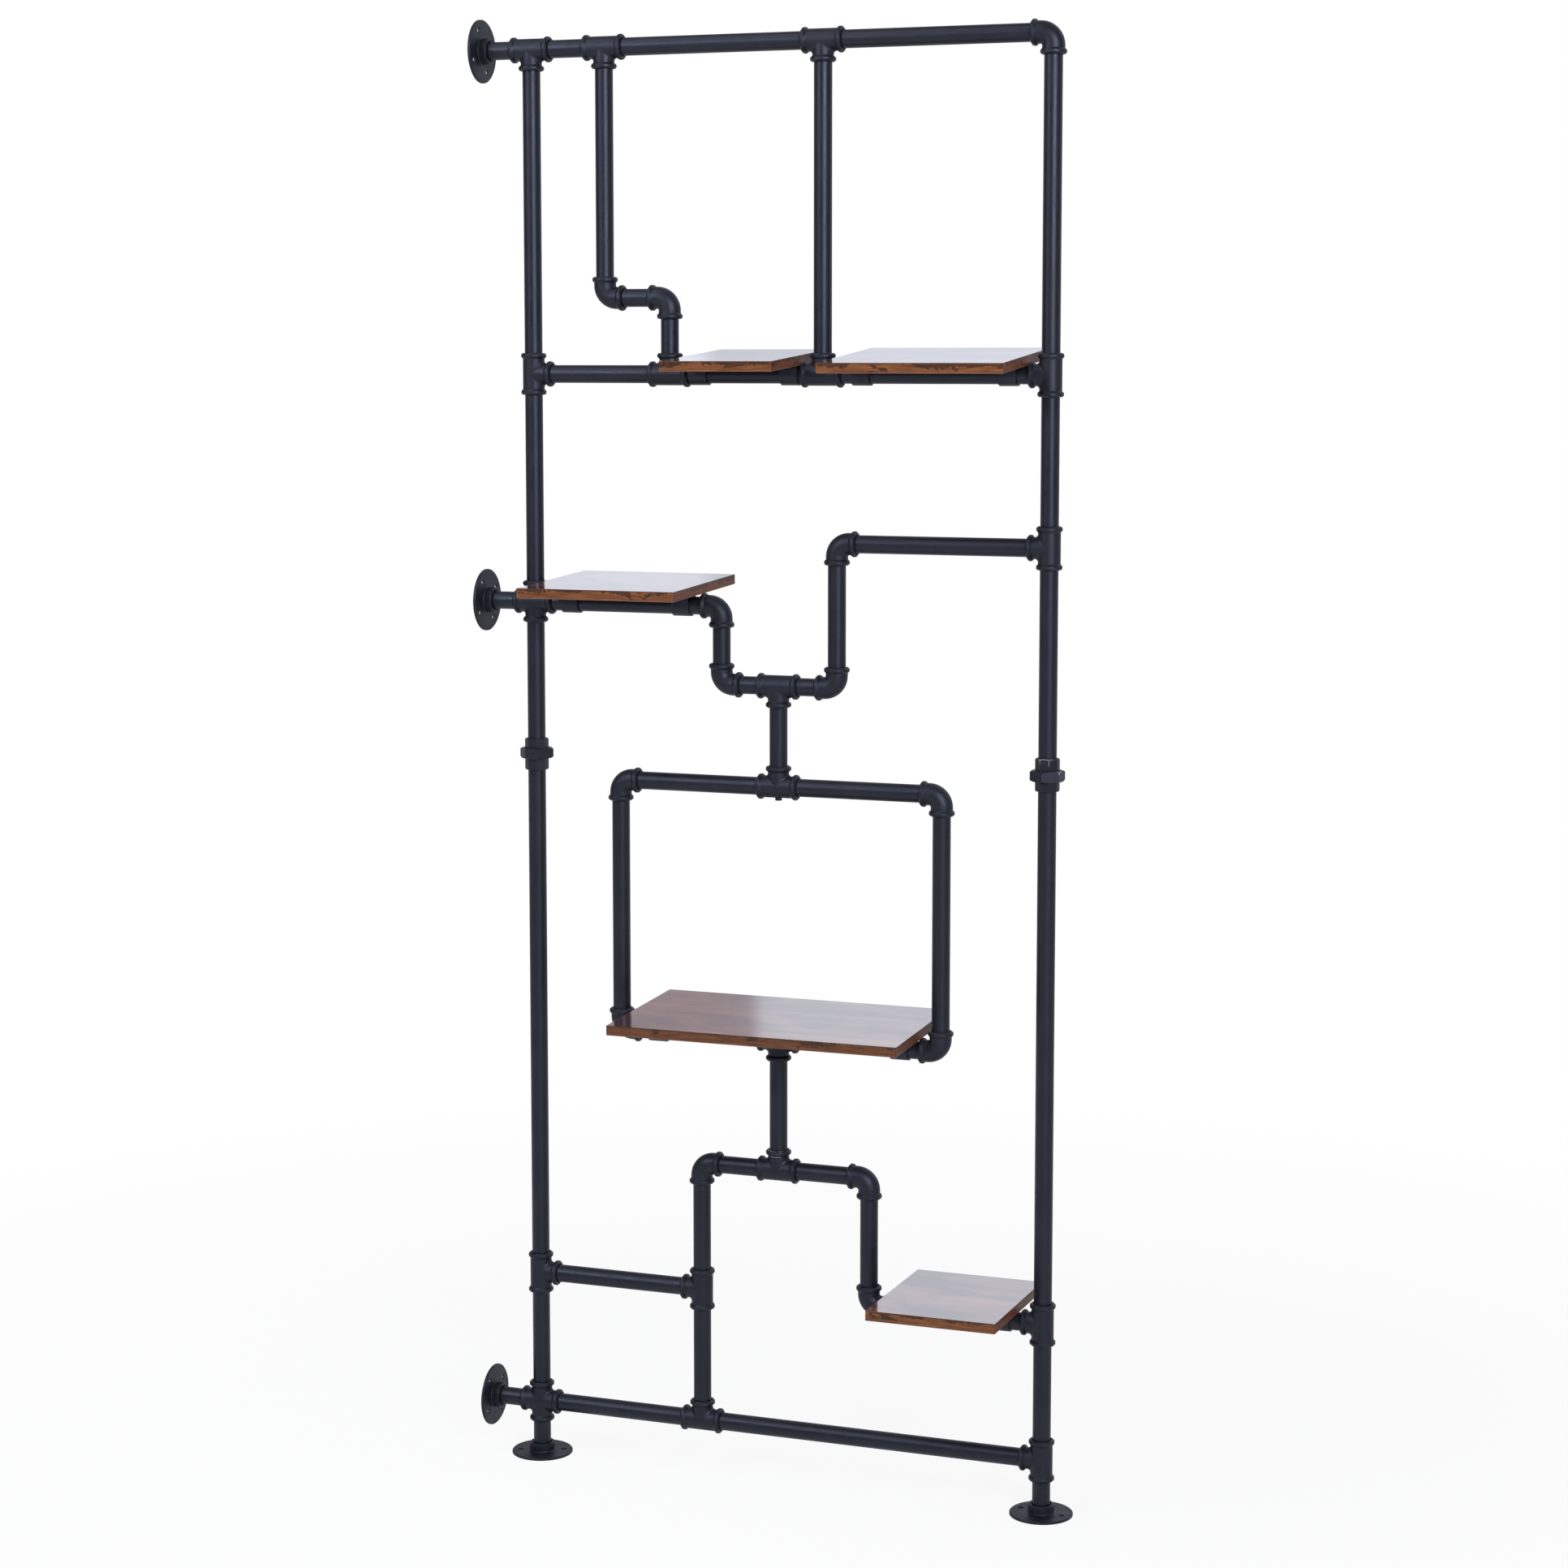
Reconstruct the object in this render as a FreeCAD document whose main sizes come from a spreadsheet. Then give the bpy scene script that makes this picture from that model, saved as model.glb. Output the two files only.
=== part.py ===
import FreeCAD, Part
import os

import Sketcher

# Pipe shelving unit: a plane frame of half-inch pipe and beaded fittings with five boards.
#
# The frame stands in the XZ plane. X runs along it, away from the side wall that its three
# wall flanges are screwed to, Y runs through it from front to back and Z is up. The origin
# is on the floor, under the middle of the whole unit. All sizes are in millimetres.

VECTOR = FreeCAD.Vector
DOCUMENT = FreeCAD.newDocument("PipeShelvingUnit")

# Driving dimensions: alias, value, what it is.
SIZES = (
    ("pole_spacing", "644", "left pole axis to right pole axis"),
    ("first_drop_x", "94", "left pole axis to the axis of the first drop pipe"),
    ("offset_drop_x", "177", "left pole axis to the drop pipe past the offset"),
    ("middle_drop_x", "369", "left pole axis to the middle drop pipe"),
    ("step_left_x", "242", "left pole axis to the left side of the step"),
    ("step_right_x", "387", "left pole axis to the right side of the step"),
    ("box_centre_x", "314", "left pole axis to the middle of the hanging box"),
    ("box_half_width", "203", "middle of the box to the axis of its side pipes"),
    ("riser_x", "215", "left pole axis to the riser between the two lowest rails"),
    ("lower_drop_x", "429", "left pole axis to the drop pipe beside the lower board"),
    ("lower_rail_z", "230", "floor to the axis of the lower rail"),
    ("drop_rail_z", "386", "floor to the axis of the short rail under the box"),
    ("box_bottom_z", "545", "floor to the axis of the bottom rail of the box"),
    ("box_top_z", "850", "floor to the axis of the top rail of the box"),
    ("union_z", "878", "floor to the middle of the two unions"),
    ("step_low_z", "970", "floor to the axis of the low rail of the step"),
    ("middle_shelf_z", "1063", "floor to the axis of the pipe under the middle board"),
    ("step_high_z", "1140", "floor to the axis of the high rail of the step"),
    ("upper_rail_z", "1337", "floor to the axis of the rail under the two top boards"),
    ("offset_z", "1427", "floor to the axis of the offset in the first drop"),
    ("top_rail_z", "1721", "floor to the axis of the top rail"),
    ("pipe_radius", "10.65", "outside radius of half-inch pipe"),
    ("pipe_wall", "2.75", "wall of the pipe"),
    ("pipe_chamfer", "0.8", "chamfer on the cut ends of the pipe"),
    ("stub_nipple", "50", "length of the nipples between fittings and flanges"),
    ("fitting_throat", "2.35", "end of a pipe in a fitting to the wall of a pipe that crosses"),
    ("thread_engagement", "12", "how far a pipe screws into a fitting"),
    ("socket_spare", "1", "socket depth past the end of its pipe"),
    ("thread_clearance", "0.1", "radial gap between a pipe and its socket"),
    ("socket_lead", "0.9", "lead-in chamfer at the mouth of a socket"),
    ("run_wall", "2.35", "wall of a fitting's run round its sockets"),
    ("branch_wall", "1.85", "wall of a fitting's branch round its socket"),
    ("crotch_fillet", "4", "blend between run and branch"),
    ("bead_wall", "4.45", "wall of a fitting under the crest of its beads"),
    ("bead_width", "7", "length of the bead along the fitting"),
    ("bead_crest", "2.8", "length of the flat crest of the bead"),
    ("bead_lip", "1.7", "length of the bead's outer slope"),
    ("face_wall", "2.55", "wall of a fitting at its end faces"),
    ("bead_round", "0.7", "rounding along the crest of the bead"),
    ("bend_throat", "1.9", "inner radius of the bend of an elbow"),
    ("nub_radius", "4", "cast nub under the tee on top of the box"),
    ("nub_height", "3", "how far the nub stands off that tee"),
    ("flange_radius", "37.5", "outside radius of a flange"),
    ("flange_thickness", "2.8", "thickness of the flange's disc"),
    ("flange_edge", "0.8", "chamfer round the flange's disc"),
    ("hub_wall", "4.75", "wall of the flange's hub"),
    ("hub_height", "13", "back of the flange to the top of its hub"),
    ("hub_fillet", "1.5", "blend between hub and disc"),
    ("hub_lead", "1.8", "countersink at the mouth of the hub"),
    ("flange_pipe_gap", "3", "back of the flange to the end of its nipple"),
    ("screw_circle", "26.5", "radius of the circle of flange screw holes"),
    ("screw_hole_radius", "3.5", "radius of a flange screw hole"),
    ("union_thread_length", "14", "length of the octagon on the thread end of a union"),
    ("union_tail_length", "11.5", "length of the octagon on the tail end of a union"),
    ("union_end_wall", "2.5", "wall of a union end at the flats of its octagon"),
    ("union_nut_length", "12.5", "length of the union nut"),
    ("union_nut_wall", "2.2", "wall of the hexagon nut at its flats"),
    ("union_chamfer", "2", "turned chamfer on the corners of nut and ends"),
    ("union_neck_wall", "1.65", "wall of the tail end where it leaves the nut"),
    ("union_shoulder", "2", "how far the tail end's shoulder stands out inside the nut"),
    ("union_thread_step", "1.2", "how far the thread end's thread stands out past it"),
    ("union_seat", "1.5", "middle of the union to the seat between its two ends"),
    ("union_shoulder_length", "2.7", "length of that shoulder"),
    ("union_clearance", "0.2", "radial gap between nut and ends"),
    ("board_depth", "200", "boards from front to back"),
    ("board_thickness", "12", "thickness of the boards"),
    ("board_ease", "0.5", "eased edges of the boards"),
    ("top_board_gap", "2", "end of a top board to the fitting beside it"),
    ("lower_board_gap", "4", "end of the lower board to the fitting beside it"),
    ("middle_board_overlap", "4", "how far the middle board lies over the beads at its ends"),
    ("box_board_overlap", "3", "how far the box board lies over the beads at its ends"),
    ("strap_width", "22", "straps along the pipe"),
    ("strap_thickness", "2", "thickness of the straps"),
    ("strap_clearance", "0.15", "gap between strap and pipe"),
    ("strap_bend", "1", "inner radius of the bend between leg and ear"),
    ("strap_ear", "14", "leg of the strap to the tip of its ear"),
    ("strap_inset", "24", "fitting face to the middle of the strap beside it"),
    ("short_strap_inset", "14", "the same under the top left board"),
    ("strap_screw_radius", "1.75", "strap screws, shank"),
    ("strap_screw_gap", "0.15", "gap round the shank of a strap screw"),
    ("strap_screw_head", "3.6", "strap screws, radius of the head"),
    ("strap_screw_dome", "2.2", "strap screws, height of the head"),
    ("strap_screw_length", "11", "strap screws, under the head"),
    ("strap_screw_point", "3", "strap screws, length of the point"),
)

# Lengths that follow from them.
PIPE_START = "(Sizes.pipe_radius + Sizes.fitting_throat)"
REACH = "(%s + Sizes.thread_engagement)" % PIPE_START
SOCKET_FLOOR = "(%s - Sizes.socket_spare)" % PIPE_START
SOCKET_RADIUS = "(Sizes.pipe_radius + Sizes.thread_clearance)"
BORE_RADIUS = "(Sizes.pipe_radius - Sizes.pipe_wall)"
RUN_RADIUS = "(%s + Sizes.run_wall)" % SOCKET_RADIUS
BRANCH_RADIUS = "(%s + Sizes.branch_wall)" % SOCKET_RADIUS
BEAD_RADIUS = "(%s + Sizes.bead_wall)" % SOCKET_RADIUS
FACE_RADIUS = "(%s + Sizes.face_wall)" % SOCKET_RADIUS
BEND_RADIUS = "(%s + Sizes.bend_throat)" % RUN_RADIUS
HUB_RADIUS = "(%s + Sizes.hub_wall)" % SOCKET_RADIUS
STUB_REACH = "(%s + Sizes.stub_nipple + Sizes.flange_pipe_gap)" % PIPE_START
THREAD_FACE = "(Sizes.union_nut_length / 2 + Sizes.union_thread_length)"
TAIL_FACE = "(Sizes.union_nut_length / 2 + Sizes.union_tail_length)"
UNION_NECK = "(%s + Sizes.union_neck_wall)" % SOCKET_RADIUS
UNION_SHOULDER = "(%s + Sizes.union_shoulder)" % UNION_NECK
UNION_SPIGOT = "(%s + Sizes.union_thread_step)" % UNION_SHOULDER
UNION_NUT_FLAT = "(%s + Sizes.union_clearance + Sizes.union_nut_wall)" % UNION_SPIGOT
UNION_END_FLAT = "(%s + Sizes.union_end_wall)" % SOCKET_RADIUS
SCREW_LINE = "(Sizes.pipe_radius + Sizes.strap_clearance + Sizes.strap_thickness" \
    " + (Sizes.strap_bend + Sizes.strap_ear) / 2)"

# The upright axes of the frame, from the origin.
LEFT_POLE = "((%s - Sizes.pole_spacing - Sizes.flange_radius) / 2)" % STUB_REACH
BOX_CENTRE = "(%s + Sizes.box_centre_x)" % LEFT_POLE
COLUMNS = {
    "wall": "(%s - %s)" % (LEFT_POLE, STUB_REACH),
    "left_pole": LEFT_POLE,
    "first_drop": "(%s + Sizes.first_drop_x)" % LEFT_POLE,
    "offset_drop": "(%s + Sizes.offset_drop_x)" % LEFT_POLE,
    "middle_drop": "(%s + Sizes.middle_drop_x)" % LEFT_POLE,
    "right_pole": "(%s + Sizes.pole_spacing)" % LEFT_POLE,
    "step_left": "(%s + Sizes.step_left_x)" % LEFT_POLE,
    "step_right": "(%s + Sizes.step_right_x)" % LEFT_POLE,
    "box_left": "(%s - Sizes.box_half_width)" % BOX_CENTRE,
    "box_centre": BOX_CENTRE,
    "box_right": "(%s + Sizes.box_half_width)" % BOX_CENTRE,
    "riser": "(%s + Sizes.riser_x)" % LEFT_POLE,
    "lower_drop": "(%s + Sizes.lower_drop_x)" % LEFT_POLE,
}

# The level axes of the frame, from the floor.
LEVELS = {
    "floor": "0",
    "bottom_rail": STUB_REACH,
    "lower_rail": "Sizes.lower_rail_z",
    "drop_rail": "Sizes.drop_rail_z",
    "box_bottom": "Sizes.box_bottom_z",
    "box_top": "Sizes.box_top_z",
    "left_union_foot": "(Sizes.union_z - %s)" % THREAD_FACE,
    "right_union_foot": "(Sizes.union_z - %s)" % TAIL_FACE,
    "union": "Sizes.union_z",
    "left_union_top": "(Sizes.union_z + %s)" % TAIL_FACE,
    "right_union_top": "(Sizes.union_z + %s)" % THREAD_FACE,
    "step_low": "Sizes.step_low_z",
    "middle_shelf": "Sizes.middle_shelf_z",
    "step_high": "Sizes.step_high_z",
    "upper_rail": "Sizes.upper_rail_z",
    "offset": "Sizes.offset_z",
    "top_rail": "Sizes.top_rail_z",
}

# Turns about Y, in degrees, that bring a part from its own frame to its place.
UPRIGHT = 0
THREAD_ABOVE = 180
ALONG_X = 90
BRANCH_UP = 0
BRANCH_RIGHT = 90
BRANCH_DOWN = 180
BRANCH_LEFT = -90
UP_AND_RIGHT = 0
RIGHT_AND_DOWN = 90
LEFT_AND_DOWN = 180
LEFT_AND_UP = -90

# Groups of tees: node, then column, level and turn of each.
TEES = (
    ("top_rail_tees", (
        ("left_pole", "top_rail", BRANCH_DOWN),
        ("first_drop", "top_rail", BRANCH_DOWN),
        ("middle_drop", "top_rail", BRANCH_DOWN),
    )),
    ("upper_rail_tees", (
        ("left_pole", "upper_rail", BRANCH_RIGHT),
        ("offset_drop", "upper_rail", BRANCH_UP),
        ("middle_drop", "upper_rail", BRANCH_UP),
        ("right_pole", "upper_rail", BRANCH_LEFT),
    )),
    ("step_tees", (
        ("box_centre", "step_low", BRANCH_DOWN),
        ("right_pole", "step_high", BRANCH_LEFT),
    )),
    ("centre_drop_tees", (
        ("box_centre", "box_bottom", BRANCH_DOWN),
        ("box_centre", "drop_rail", BRANCH_UP),
    )),
    ("lower_rail_tees", (
        ("left_pole", "lower_rail", BRANCH_RIGHT),
        ("riser", "lower_rail", BRANCH_LEFT),
        ("right_pole", "lower_rail", BRANCH_LEFT),
    )),
    ("bottom_rail_tees", (
        ("riser", "bottom_rail", BRANCH_UP),
        ("right_pole", "bottom_rail", BRANCH_LEFT),
    )),
)

ELBOWS = (
    ("top_corner_elbow", (
        ("right_pole", "top_rail", LEFT_AND_DOWN),
    )),
    ("offset_elbows", (
        ("first_drop", "offset", UP_AND_RIGHT),
        ("offset_drop", "offset", LEFT_AND_DOWN),
    )),
    ("step_elbows", (
        ("step_left", "middle_shelf", LEFT_AND_DOWN),
        ("step_left", "step_low", UP_AND_RIGHT),
        ("step_right", "step_low", LEFT_AND_UP),
        ("step_right", "step_high", RIGHT_AND_DOWN),
    )),
    ("box_elbows", (
        ("box_left", "box_top", RIGHT_AND_DOWN),
        ("box_left", "box_bottom", UP_AND_RIGHT),
        ("box_right", "box_top", LEFT_AND_DOWN),
        ("box_right", "box_bottom", LEFT_AND_UP),
    )),
    ("drop_elbows", (
        ("riser", "drop_rail", RIGHT_AND_DOWN),
        ("lower_drop", "drop_rail", LEFT_AND_DOWN),
        ("lower_drop", "lower_rail", UP_AND_RIGHT),
    )),
)

CROSSES = (
    ("middle_shelf_cross", "left_pole", "middle_shelf"),
    ("bottom_rail_cross", "left_pole", "bottom_rail"),
)

# Pipes, each from one fitting to the next. A run whose first word is a level lies along X
# between two columns, and one whose first word is a column stands between two levels.
PIPES = (
    ("flange_nipples", (
        ("top_rail", "wall", "left_pole"),
        ("middle_shelf", "wall", "left_pole"),
        ("bottom_rail", "wall", "left_pole"),
        ("left_pole", "floor", "bottom_rail"),
        ("right_pole", "floor", "bottom_rail"),
    )),
    ("top_rail_nipple", (("top_rail", "left_pole", "first_drop"),)),
    ("long_rail_pipes", (
        ("top_rail", "first_drop", "middle_drop"),
        ("top_rail", "middle_drop", "right_pole"),
        ("upper_rail", "middle_drop", "right_pole"),
    )),
    ("upper_rail_left_pipe", (("upper_rail", "left_pole", "offset_drop"),)),
    ("upper_rail_middle_pipe", (("upper_rail", "offset_drop", "middle_drop"),)),
    ("middle_shelf_pipe", (("middle_shelf", "left_pole", "step_left"),)),
    ("offset_nipple", (("offset", "first_drop", "offset_drop"),)),
    ("step_low_nipples", (
        ("step_low", "step_left", "box_centre"),
        ("step_low", "box_centre", "step_right"),
    )),
    ("step_high_pipe", (("step_high", "step_right", "right_pole"),)),
    ("box_rail_pipes", (
        ("box_top", "box_left", "box_centre"),
        ("box_top", "box_centre", "box_right"),
        ("box_bottom", "box_left", "box_centre"),
        ("box_bottom", "box_centre", "box_right"),
    )),
    ("drop_rail_nipples", (
        ("drop_rail", "riser", "box_centre"),
        ("drop_rail", "box_centre", "lower_drop"),
    )),
    ("lower_rail_pipes", (
        ("lower_rail", "left_pole", "riser"),
        ("lower_rail", "lower_drop", "right_pole"),
        ("bottom_rail", "left_pole", "riser"),
    )),
    ("bottom_rail_right_pipe", (("bottom_rail", "riser", "right_pole"),)),
    ("short_riser_pipes", (
        ("left_pole", "bottom_rail", "lower_rail"),
        ("riser", "bottom_rail", "lower_rail"),
        ("right_pole", "bottom_rail", "lower_rail"),
    )),
    ("long_pole_pipes", (
        ("left_pole", "lower_rail", "left_union_foot"),
        ("right_pole", "lower_rail", "right_union_foot"),
    )),
    ("left_pole_union_pipe", (("left_pole", "left_union_top", "middle_shelf"),)),
    ("right_pole_union_pipe", (("right_pole", "right_union_top", "step_high"),)),
    ("left_pole_shelf_pipe", (("left_pole", "middle_shelf", "upper_rail"),)),
    ("right_pole_shelf_pipe", (("right_pole", "step_high", "upper_rail"),)),
    ("upper_drop_pipes", (
        ("left_pole", "upper_rail", "top_rail"),
        ("middle_drop", "upper_rail", "top_rail"),
        ("right_pole", "upper_rail", "top_rail"),
    )),
    ("first_drop_pipe", (("first_drop", "offset", "top_rail"),)),
    ("short_drop_nipples", (
        ("offset_drop", "upper_rail", "offset"),
        ("step_left", "step_low", "middle_shelf"),
    )),
    ("step_riser_pipe", (("step_right", "step_low", "step_high"),)),
    ("box_hanger_nipple", (("box_centre", "box_top", "step_low"),)),
    ("box_side_pipes", (
        ("box_left", "box_bottom", "box_top"),
        ("box_right", "box_bottom", "box_top"),
    )),
    ("centre_drop_pipe", (("box_centre", "drop_rail", "box_bottom"),)),
    ("drop_side_pipes", (
        ("riser", "lower_rail", "drop_rail"),
        ("lower_drop", "lower_rail", "drop_rail"),
    )),
)

# From a pipe's end to the place that its run is named by.
PIPE_ENDS = {
    "wall": "Sizes.flange_pipe_gap",
    "floor": "Sizes.flange_pipe_gap",
    "left_union_foot": "(-Sizes.thread_engagement)",
    "left_union_top": "(-Sizes.thread_engagement)",
    "right_union_foot": "(-Sizes.thread_engagement)",
    "right_union_top": "(-Sizes.thread_engagement)",
}

# Flanges: node, column, level, turn about Y, and turn of the screw holes about the hub.
FLANGES = (
    ("wall_flange_top", "wall", "top_rail", ALONG_X, 25),
    ("wall_flange_middle", "wall", "middle_shelf", ALONG_X, 33),
    ("wall_flange_bottom", "wall", "bottom_rail", ALONG_X, 36),
    ("floor_flange_left", "left_pole", "floor", UPRIGHT, 20),
    ("floor_flange_right", "right_pole", "floor", UPRIGHT, 80),
)

# Unions: side, column, turn about Y, and turn of the nut about the pole. The left one has
# its thread end below and the right one has it above.
UNIONS = (
    ("left", "left_pole", UPRIGHT, 10),
    ("right", "right_pole", THREAD_ABOVE, 33),
)

# Boards: node, level, the columns at both ends, how far the board reaches past the fitting
# faces there, how high its underside is over the axis of its pipe, fitting to strap, and how
# many degrees the board is swung about its pipe, front edge down.
ON_PIPE = "Sizes.pipe_radius"
ON_BEADS = BEAD_RADIUS
BOARDS = (
    ("top_left_board", "upper_rail", "offset_drop", "middle_drop",
     "(-Sizes.top_board_gap)", ON_PIPE, "Sizes.short_strap_inset", 4),
    ("top_right_board", "upper_rail", "middle_drop", "right_pole",
     "(-Sizes.top_board_gap)", ON_PIPE, "Sizes.strap_inset", 5),
    ("middle_board", "middle_shelf", "left_pole", "step_left",
     "Sizes.middle_board_overlap", ON_BEADS, "Sizes.strap_inset", 2.5),
    ("box_board", "box_bottom", "box_left", "box_right",
     "Sizes.box_board_overlap", ON_BEADS, "Sizes.strap_inset", 2),
    ("lower_board", "lower_rail", "lower_drop", "right_pole",
     "(-Sizes.lower_board_gap)", ON_PIPE, "Sizes.strap_inset", -1.2),
)

FULL_TURN = 360
QUARTER_TURN = 90
NUT_SIDES = 6
END_SIDES = 8
FLANGE_SCREWS = 4
OVERRUN = "1"
SAME = 0.01
LEFTWARD = 1
RIGHTWARD = -1
SIDES = (-1, 1)


# ------------------------------------------------------------------ sheet and sketches

def make_sheet():
    """Write the driving dimensions, one row each: alias, number, what it is."""
    sheet = DOCUMENT.addObject("Spreadsheet::Sheet", "Sizes")
    for row, (alias, number, meaning) in enumerate(SIZES, start=1):
        sheet.set("A%d" % row, alias)
        sheet.set("B%d" % row, number)
        sheet.set("C%d" % row, meaning)
        sheet.setAlias("B%d" % row, alias)
    DOCUMENT.recompute()
    return sheet


SHEET = make_sheet()


def value_of(expression):
    """The number that an expression on the sheet has."""
    return float(SHEET.evalExpression(expression))


def make_body(name):
    return DOCUMENT.addObject("PartDesign::Body", name)


def make_sketch(body, name, role):
    """A sketch on one of the body's own origin planes, which is found by its role."""
    planes = [feature for feature in body.Origin.OriginFeatures if feature.Role == role]
    sketch = body.newObject("Sketcher::SketchObject", body.Name + "_" + name)
    sketch.AttachmentSupport = [(planes[0], "")]
    sketch.MapMode = "FlatFace"
    return sketch


def bind(sketch, rule, label, expression):
    """Add a dimension to a sketch and bind it to the sheet."""
    index = sketch.addConstraint(rule)
    sketch.renameConstraint(index, label)
    sketch.setExpression("Constraints." + label, expression)


def pin(sketch, edge, end, kind, expression):
    """Hold one end of an edge at a distance, across or up, from the sketch's origin."""
    distance = value_of(expression)
    if abs(distance) < SAME:
        axis = -2 if kind == "DistanceX" else -1
        sketch.addConstraint(Sketcher.Constraint("PointOnObject", edge, end, axis))
        return
    label = "%s_%d" % (kind, edge)
    if distance > 0:
        rule = Sketcher.Constraint(kind, -1, 1, edge, end, distance)
        bind(sketch, rule, label, expression)
        return
    rule = Sketcher.Constraint(kind, edge, end, -1, 1, -distance)
    bind(sketch, rule, label, "-(%s)" % expression)


def arc_through(start, end, radius, turn):
    """The short arc from start to end, whose centre lies to the left or the right."""
    half = (end - start) * 0.5
    rise = max(radius ** 2 - half.Length ** 2, 0) ** 0.5
    side = VECTOR(-half.y, half.x, 0).normalize() * turn
    return Part.Arc(start, start + half - side * (radius - rise), end)


def draw_outline(sketch, corners):
    """A closed outline. A corner is (across, up), or (across, up, radius, turn) where the
    edge that leaves it is an arc. Every corner and radius is bound to the sheet."""
    places = [VECTOR(value_of(corner[0]), value_of(corner[1]), 0) for corner in corners]
    ends = []
    for index, corner in enumerate(corners):
        start = places[index]
        end = places[(index + 1) % len(corners)]
        if len(corner) == 2:
            sketch.addGeometry(Part.LineSegment(start, end), False)
            ends.append((1, 2))
            continue
        radius, turn = corner[2:]
        sketch.addGeometry(arc_through(start, end, value_of(radius), turn), False)
        ends.append((1, 2) if turn == LEFTWARD else (2, 1))
    for index, corner in enumerate(corners):
        following = (index + 1) % len(corners)
        sketch.addConstraint(Sketcher.Constraint(
            "Coincident", index, ends[index][1], following, ends[following][0]))
        pin(sketch, index, ends[index][0], "DistanceX", corner[0])
        pin(sketch, index, ends[index][0], "DistanceY", corner[1])
        if len(corner) > 2:
            rule = Sketcher.Constraint("Radius", index, value_of(corner[2]))
            bind(sketch, rule, "Radius_%d" % index, corner[2])


def draw_circle(sketch, across, up, radius):
    """A circle whose centre and radius are bound to the sheet."""
    centre = VECTOR(value_of(across), value_of(up), 0)
    size = value_of(radius)
    index = sketch.addGeometry(Part.Circle(centre, VECTOR(0, 0, 1), size), False)
    pin(sketch, index, 3, "DistanceX", across)
    pin(sketch, index, 3, "DistanceY", up)
    bind(sketch, Sketcher.Constraint("Radius", index, size), "Radius_%d" % index, radius)


def corner_radius(sides, flat):
    """From the middle of a regular polygon to its corners, where its flats are given."""
    return "(%s / cos(%g))" % (flat, FULL_TURN / sides / 2)


def polygon_corners(sides, flat):
    """Corners of a regular polygon with a flat towards the front."""
    step = FULL_TURN / sides
    radius = corner_radius(sides, flat)
    angles = [step * (index + 0.5) - QUARTER_TURN for index in range(sides)]
    return [("%s * cos(%g)" % (radius, angle), "%s * sin(%g)" % (radius, angle))
            for angle in angles]


# ------------------------------------------------------------------ features

def volume_of(body):
    DOCUMENT.recompute()
    return body.Tip.Shape.Volume if body.Tip else 0


def turn_profile(body, name, corners, axis, kind="Revolution"):
    """Turn an outline in the XZ plane about H_Axis (X) or V_Axis (Z)."""
    before = volume_of(body)
    sketch = make_sketch(body, name + "_outline", "XZ_Plane")
    draw_outline(sketch, corners)
    feature = body.newObject("PartDesign::" + kind, body.Name + "_" + name)
    feature.Profile = sketch
    feature.ReferenceAxis = (sketch, [axis])
    feature.Angle = FULL_TURN
    check_change(body, name, kind == "Revolution", before)
    return feature


def turn_bend(body, name, radius, kind):
    """Turn a circle a quarter round the bend of an elbow, from its Z leg to its X leg."""
    before = volume_of(body)
    sketch = make_sketch(body, name + "_section", "XY_Plane")
    sketch.setExpression("AttachmentOffset.Base.z", BEND_RADIUS)
    draw_circle(sketch, "0", "0", radius)
    offset = value_of(BEND_RADIUS)
    reach = value_of(radius)
    line = Part.LineSegment(VECTOR(offset, -reach, 0), VECTOR(offset, reach, 0))
    index = sketch.addGeometry(line, True)
    sketch.addConstraint(Sketcher.Constraint("Vertical", index))
    pin(sketch, index, 1, "DistanceX", BEND_RADIUS)
    pin(sketch, index, 1, "DistanceY", "-" + radius)
    pin_end = Sketcher.Constraint("DistanceY", -1, 1, index, 2, reach)
    bind(sketch, pin_end, "Axis_length", radius)
    feature = body.newObject("PartDesign::" + kind, body.Name + "_" + name)
    feature.Profile = sketch
    feature.ReferenceAxis = (sketch, ["Axis0"])
    feature.Angle = QUARTER_TURN
    feature.Reversed = True
    check_change(body, name, kind == "Revolution", before)
    return feature


def pad_outline(body, name, corners, length, foot=None):
    """Pad an outline in the XY plane upwards, from a height where one is given."""
    before = volume_of(body)
    sketch = make_sketch(body, name + "_outline", "XY_Plane")
    if foot:
        sketch.setExpression("AttachmentOffset.Base.z", foot)
    draw_outline(sketch, corners)
    feature = body.newObject("PartDesign::Pad", body.Name + "_" + name)
    feature.Profile = sketch
    feature.setExpression("Length", length)
    check_change(body, name, True, before)
    return feature


def drill(body, name, circles, depth):
    """Pocket circles in the XY plane upwards."""
    before = volume_of(body)
    sketch = make_sketch(body, name + "_circles", "XY_Plane")
    for across, up, radius in circles:
        draw_circle(sketch, across, up, radius)
    feature = body.newObject("PartDesign::Pocket", body.Name + "_" + name)
    feature.Profile = sketch
    feature.Reversed = True
    feature.setExpression("Length", depth)
    check_change(body, name, False, before)
    return feature


def round_edges(body, name, wanted, radius):
    """Fillet the edges of the body so far that a test picks out."""
    DOCUMENT.recompute()
    base = body.Tip
    edges = ["Edge%d" % number for number, edge in enumerate(base.Shape.Edges, start=1)
             if wanted(edge)]
    if not edges:
        raise ValueError("no edges for " + name + " of " + body.Name)
    feature = body.newObject("PartDesign::Fillet", body.Name + "_" + name)
    feature.Base = (base, edges)
    feature.setExpression("Radius", radius)
    DOCUMENT.recompute()
    return feature


def is_circle(edge, radius):
    return isinstance(edge.Curve, Part.Circle) and abs(edge.Curve.Radius - radius) < SAME


def is_crotch(edge):
    return not isinstance(edge.Curve, (Part.Circle, Part.Line))


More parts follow.
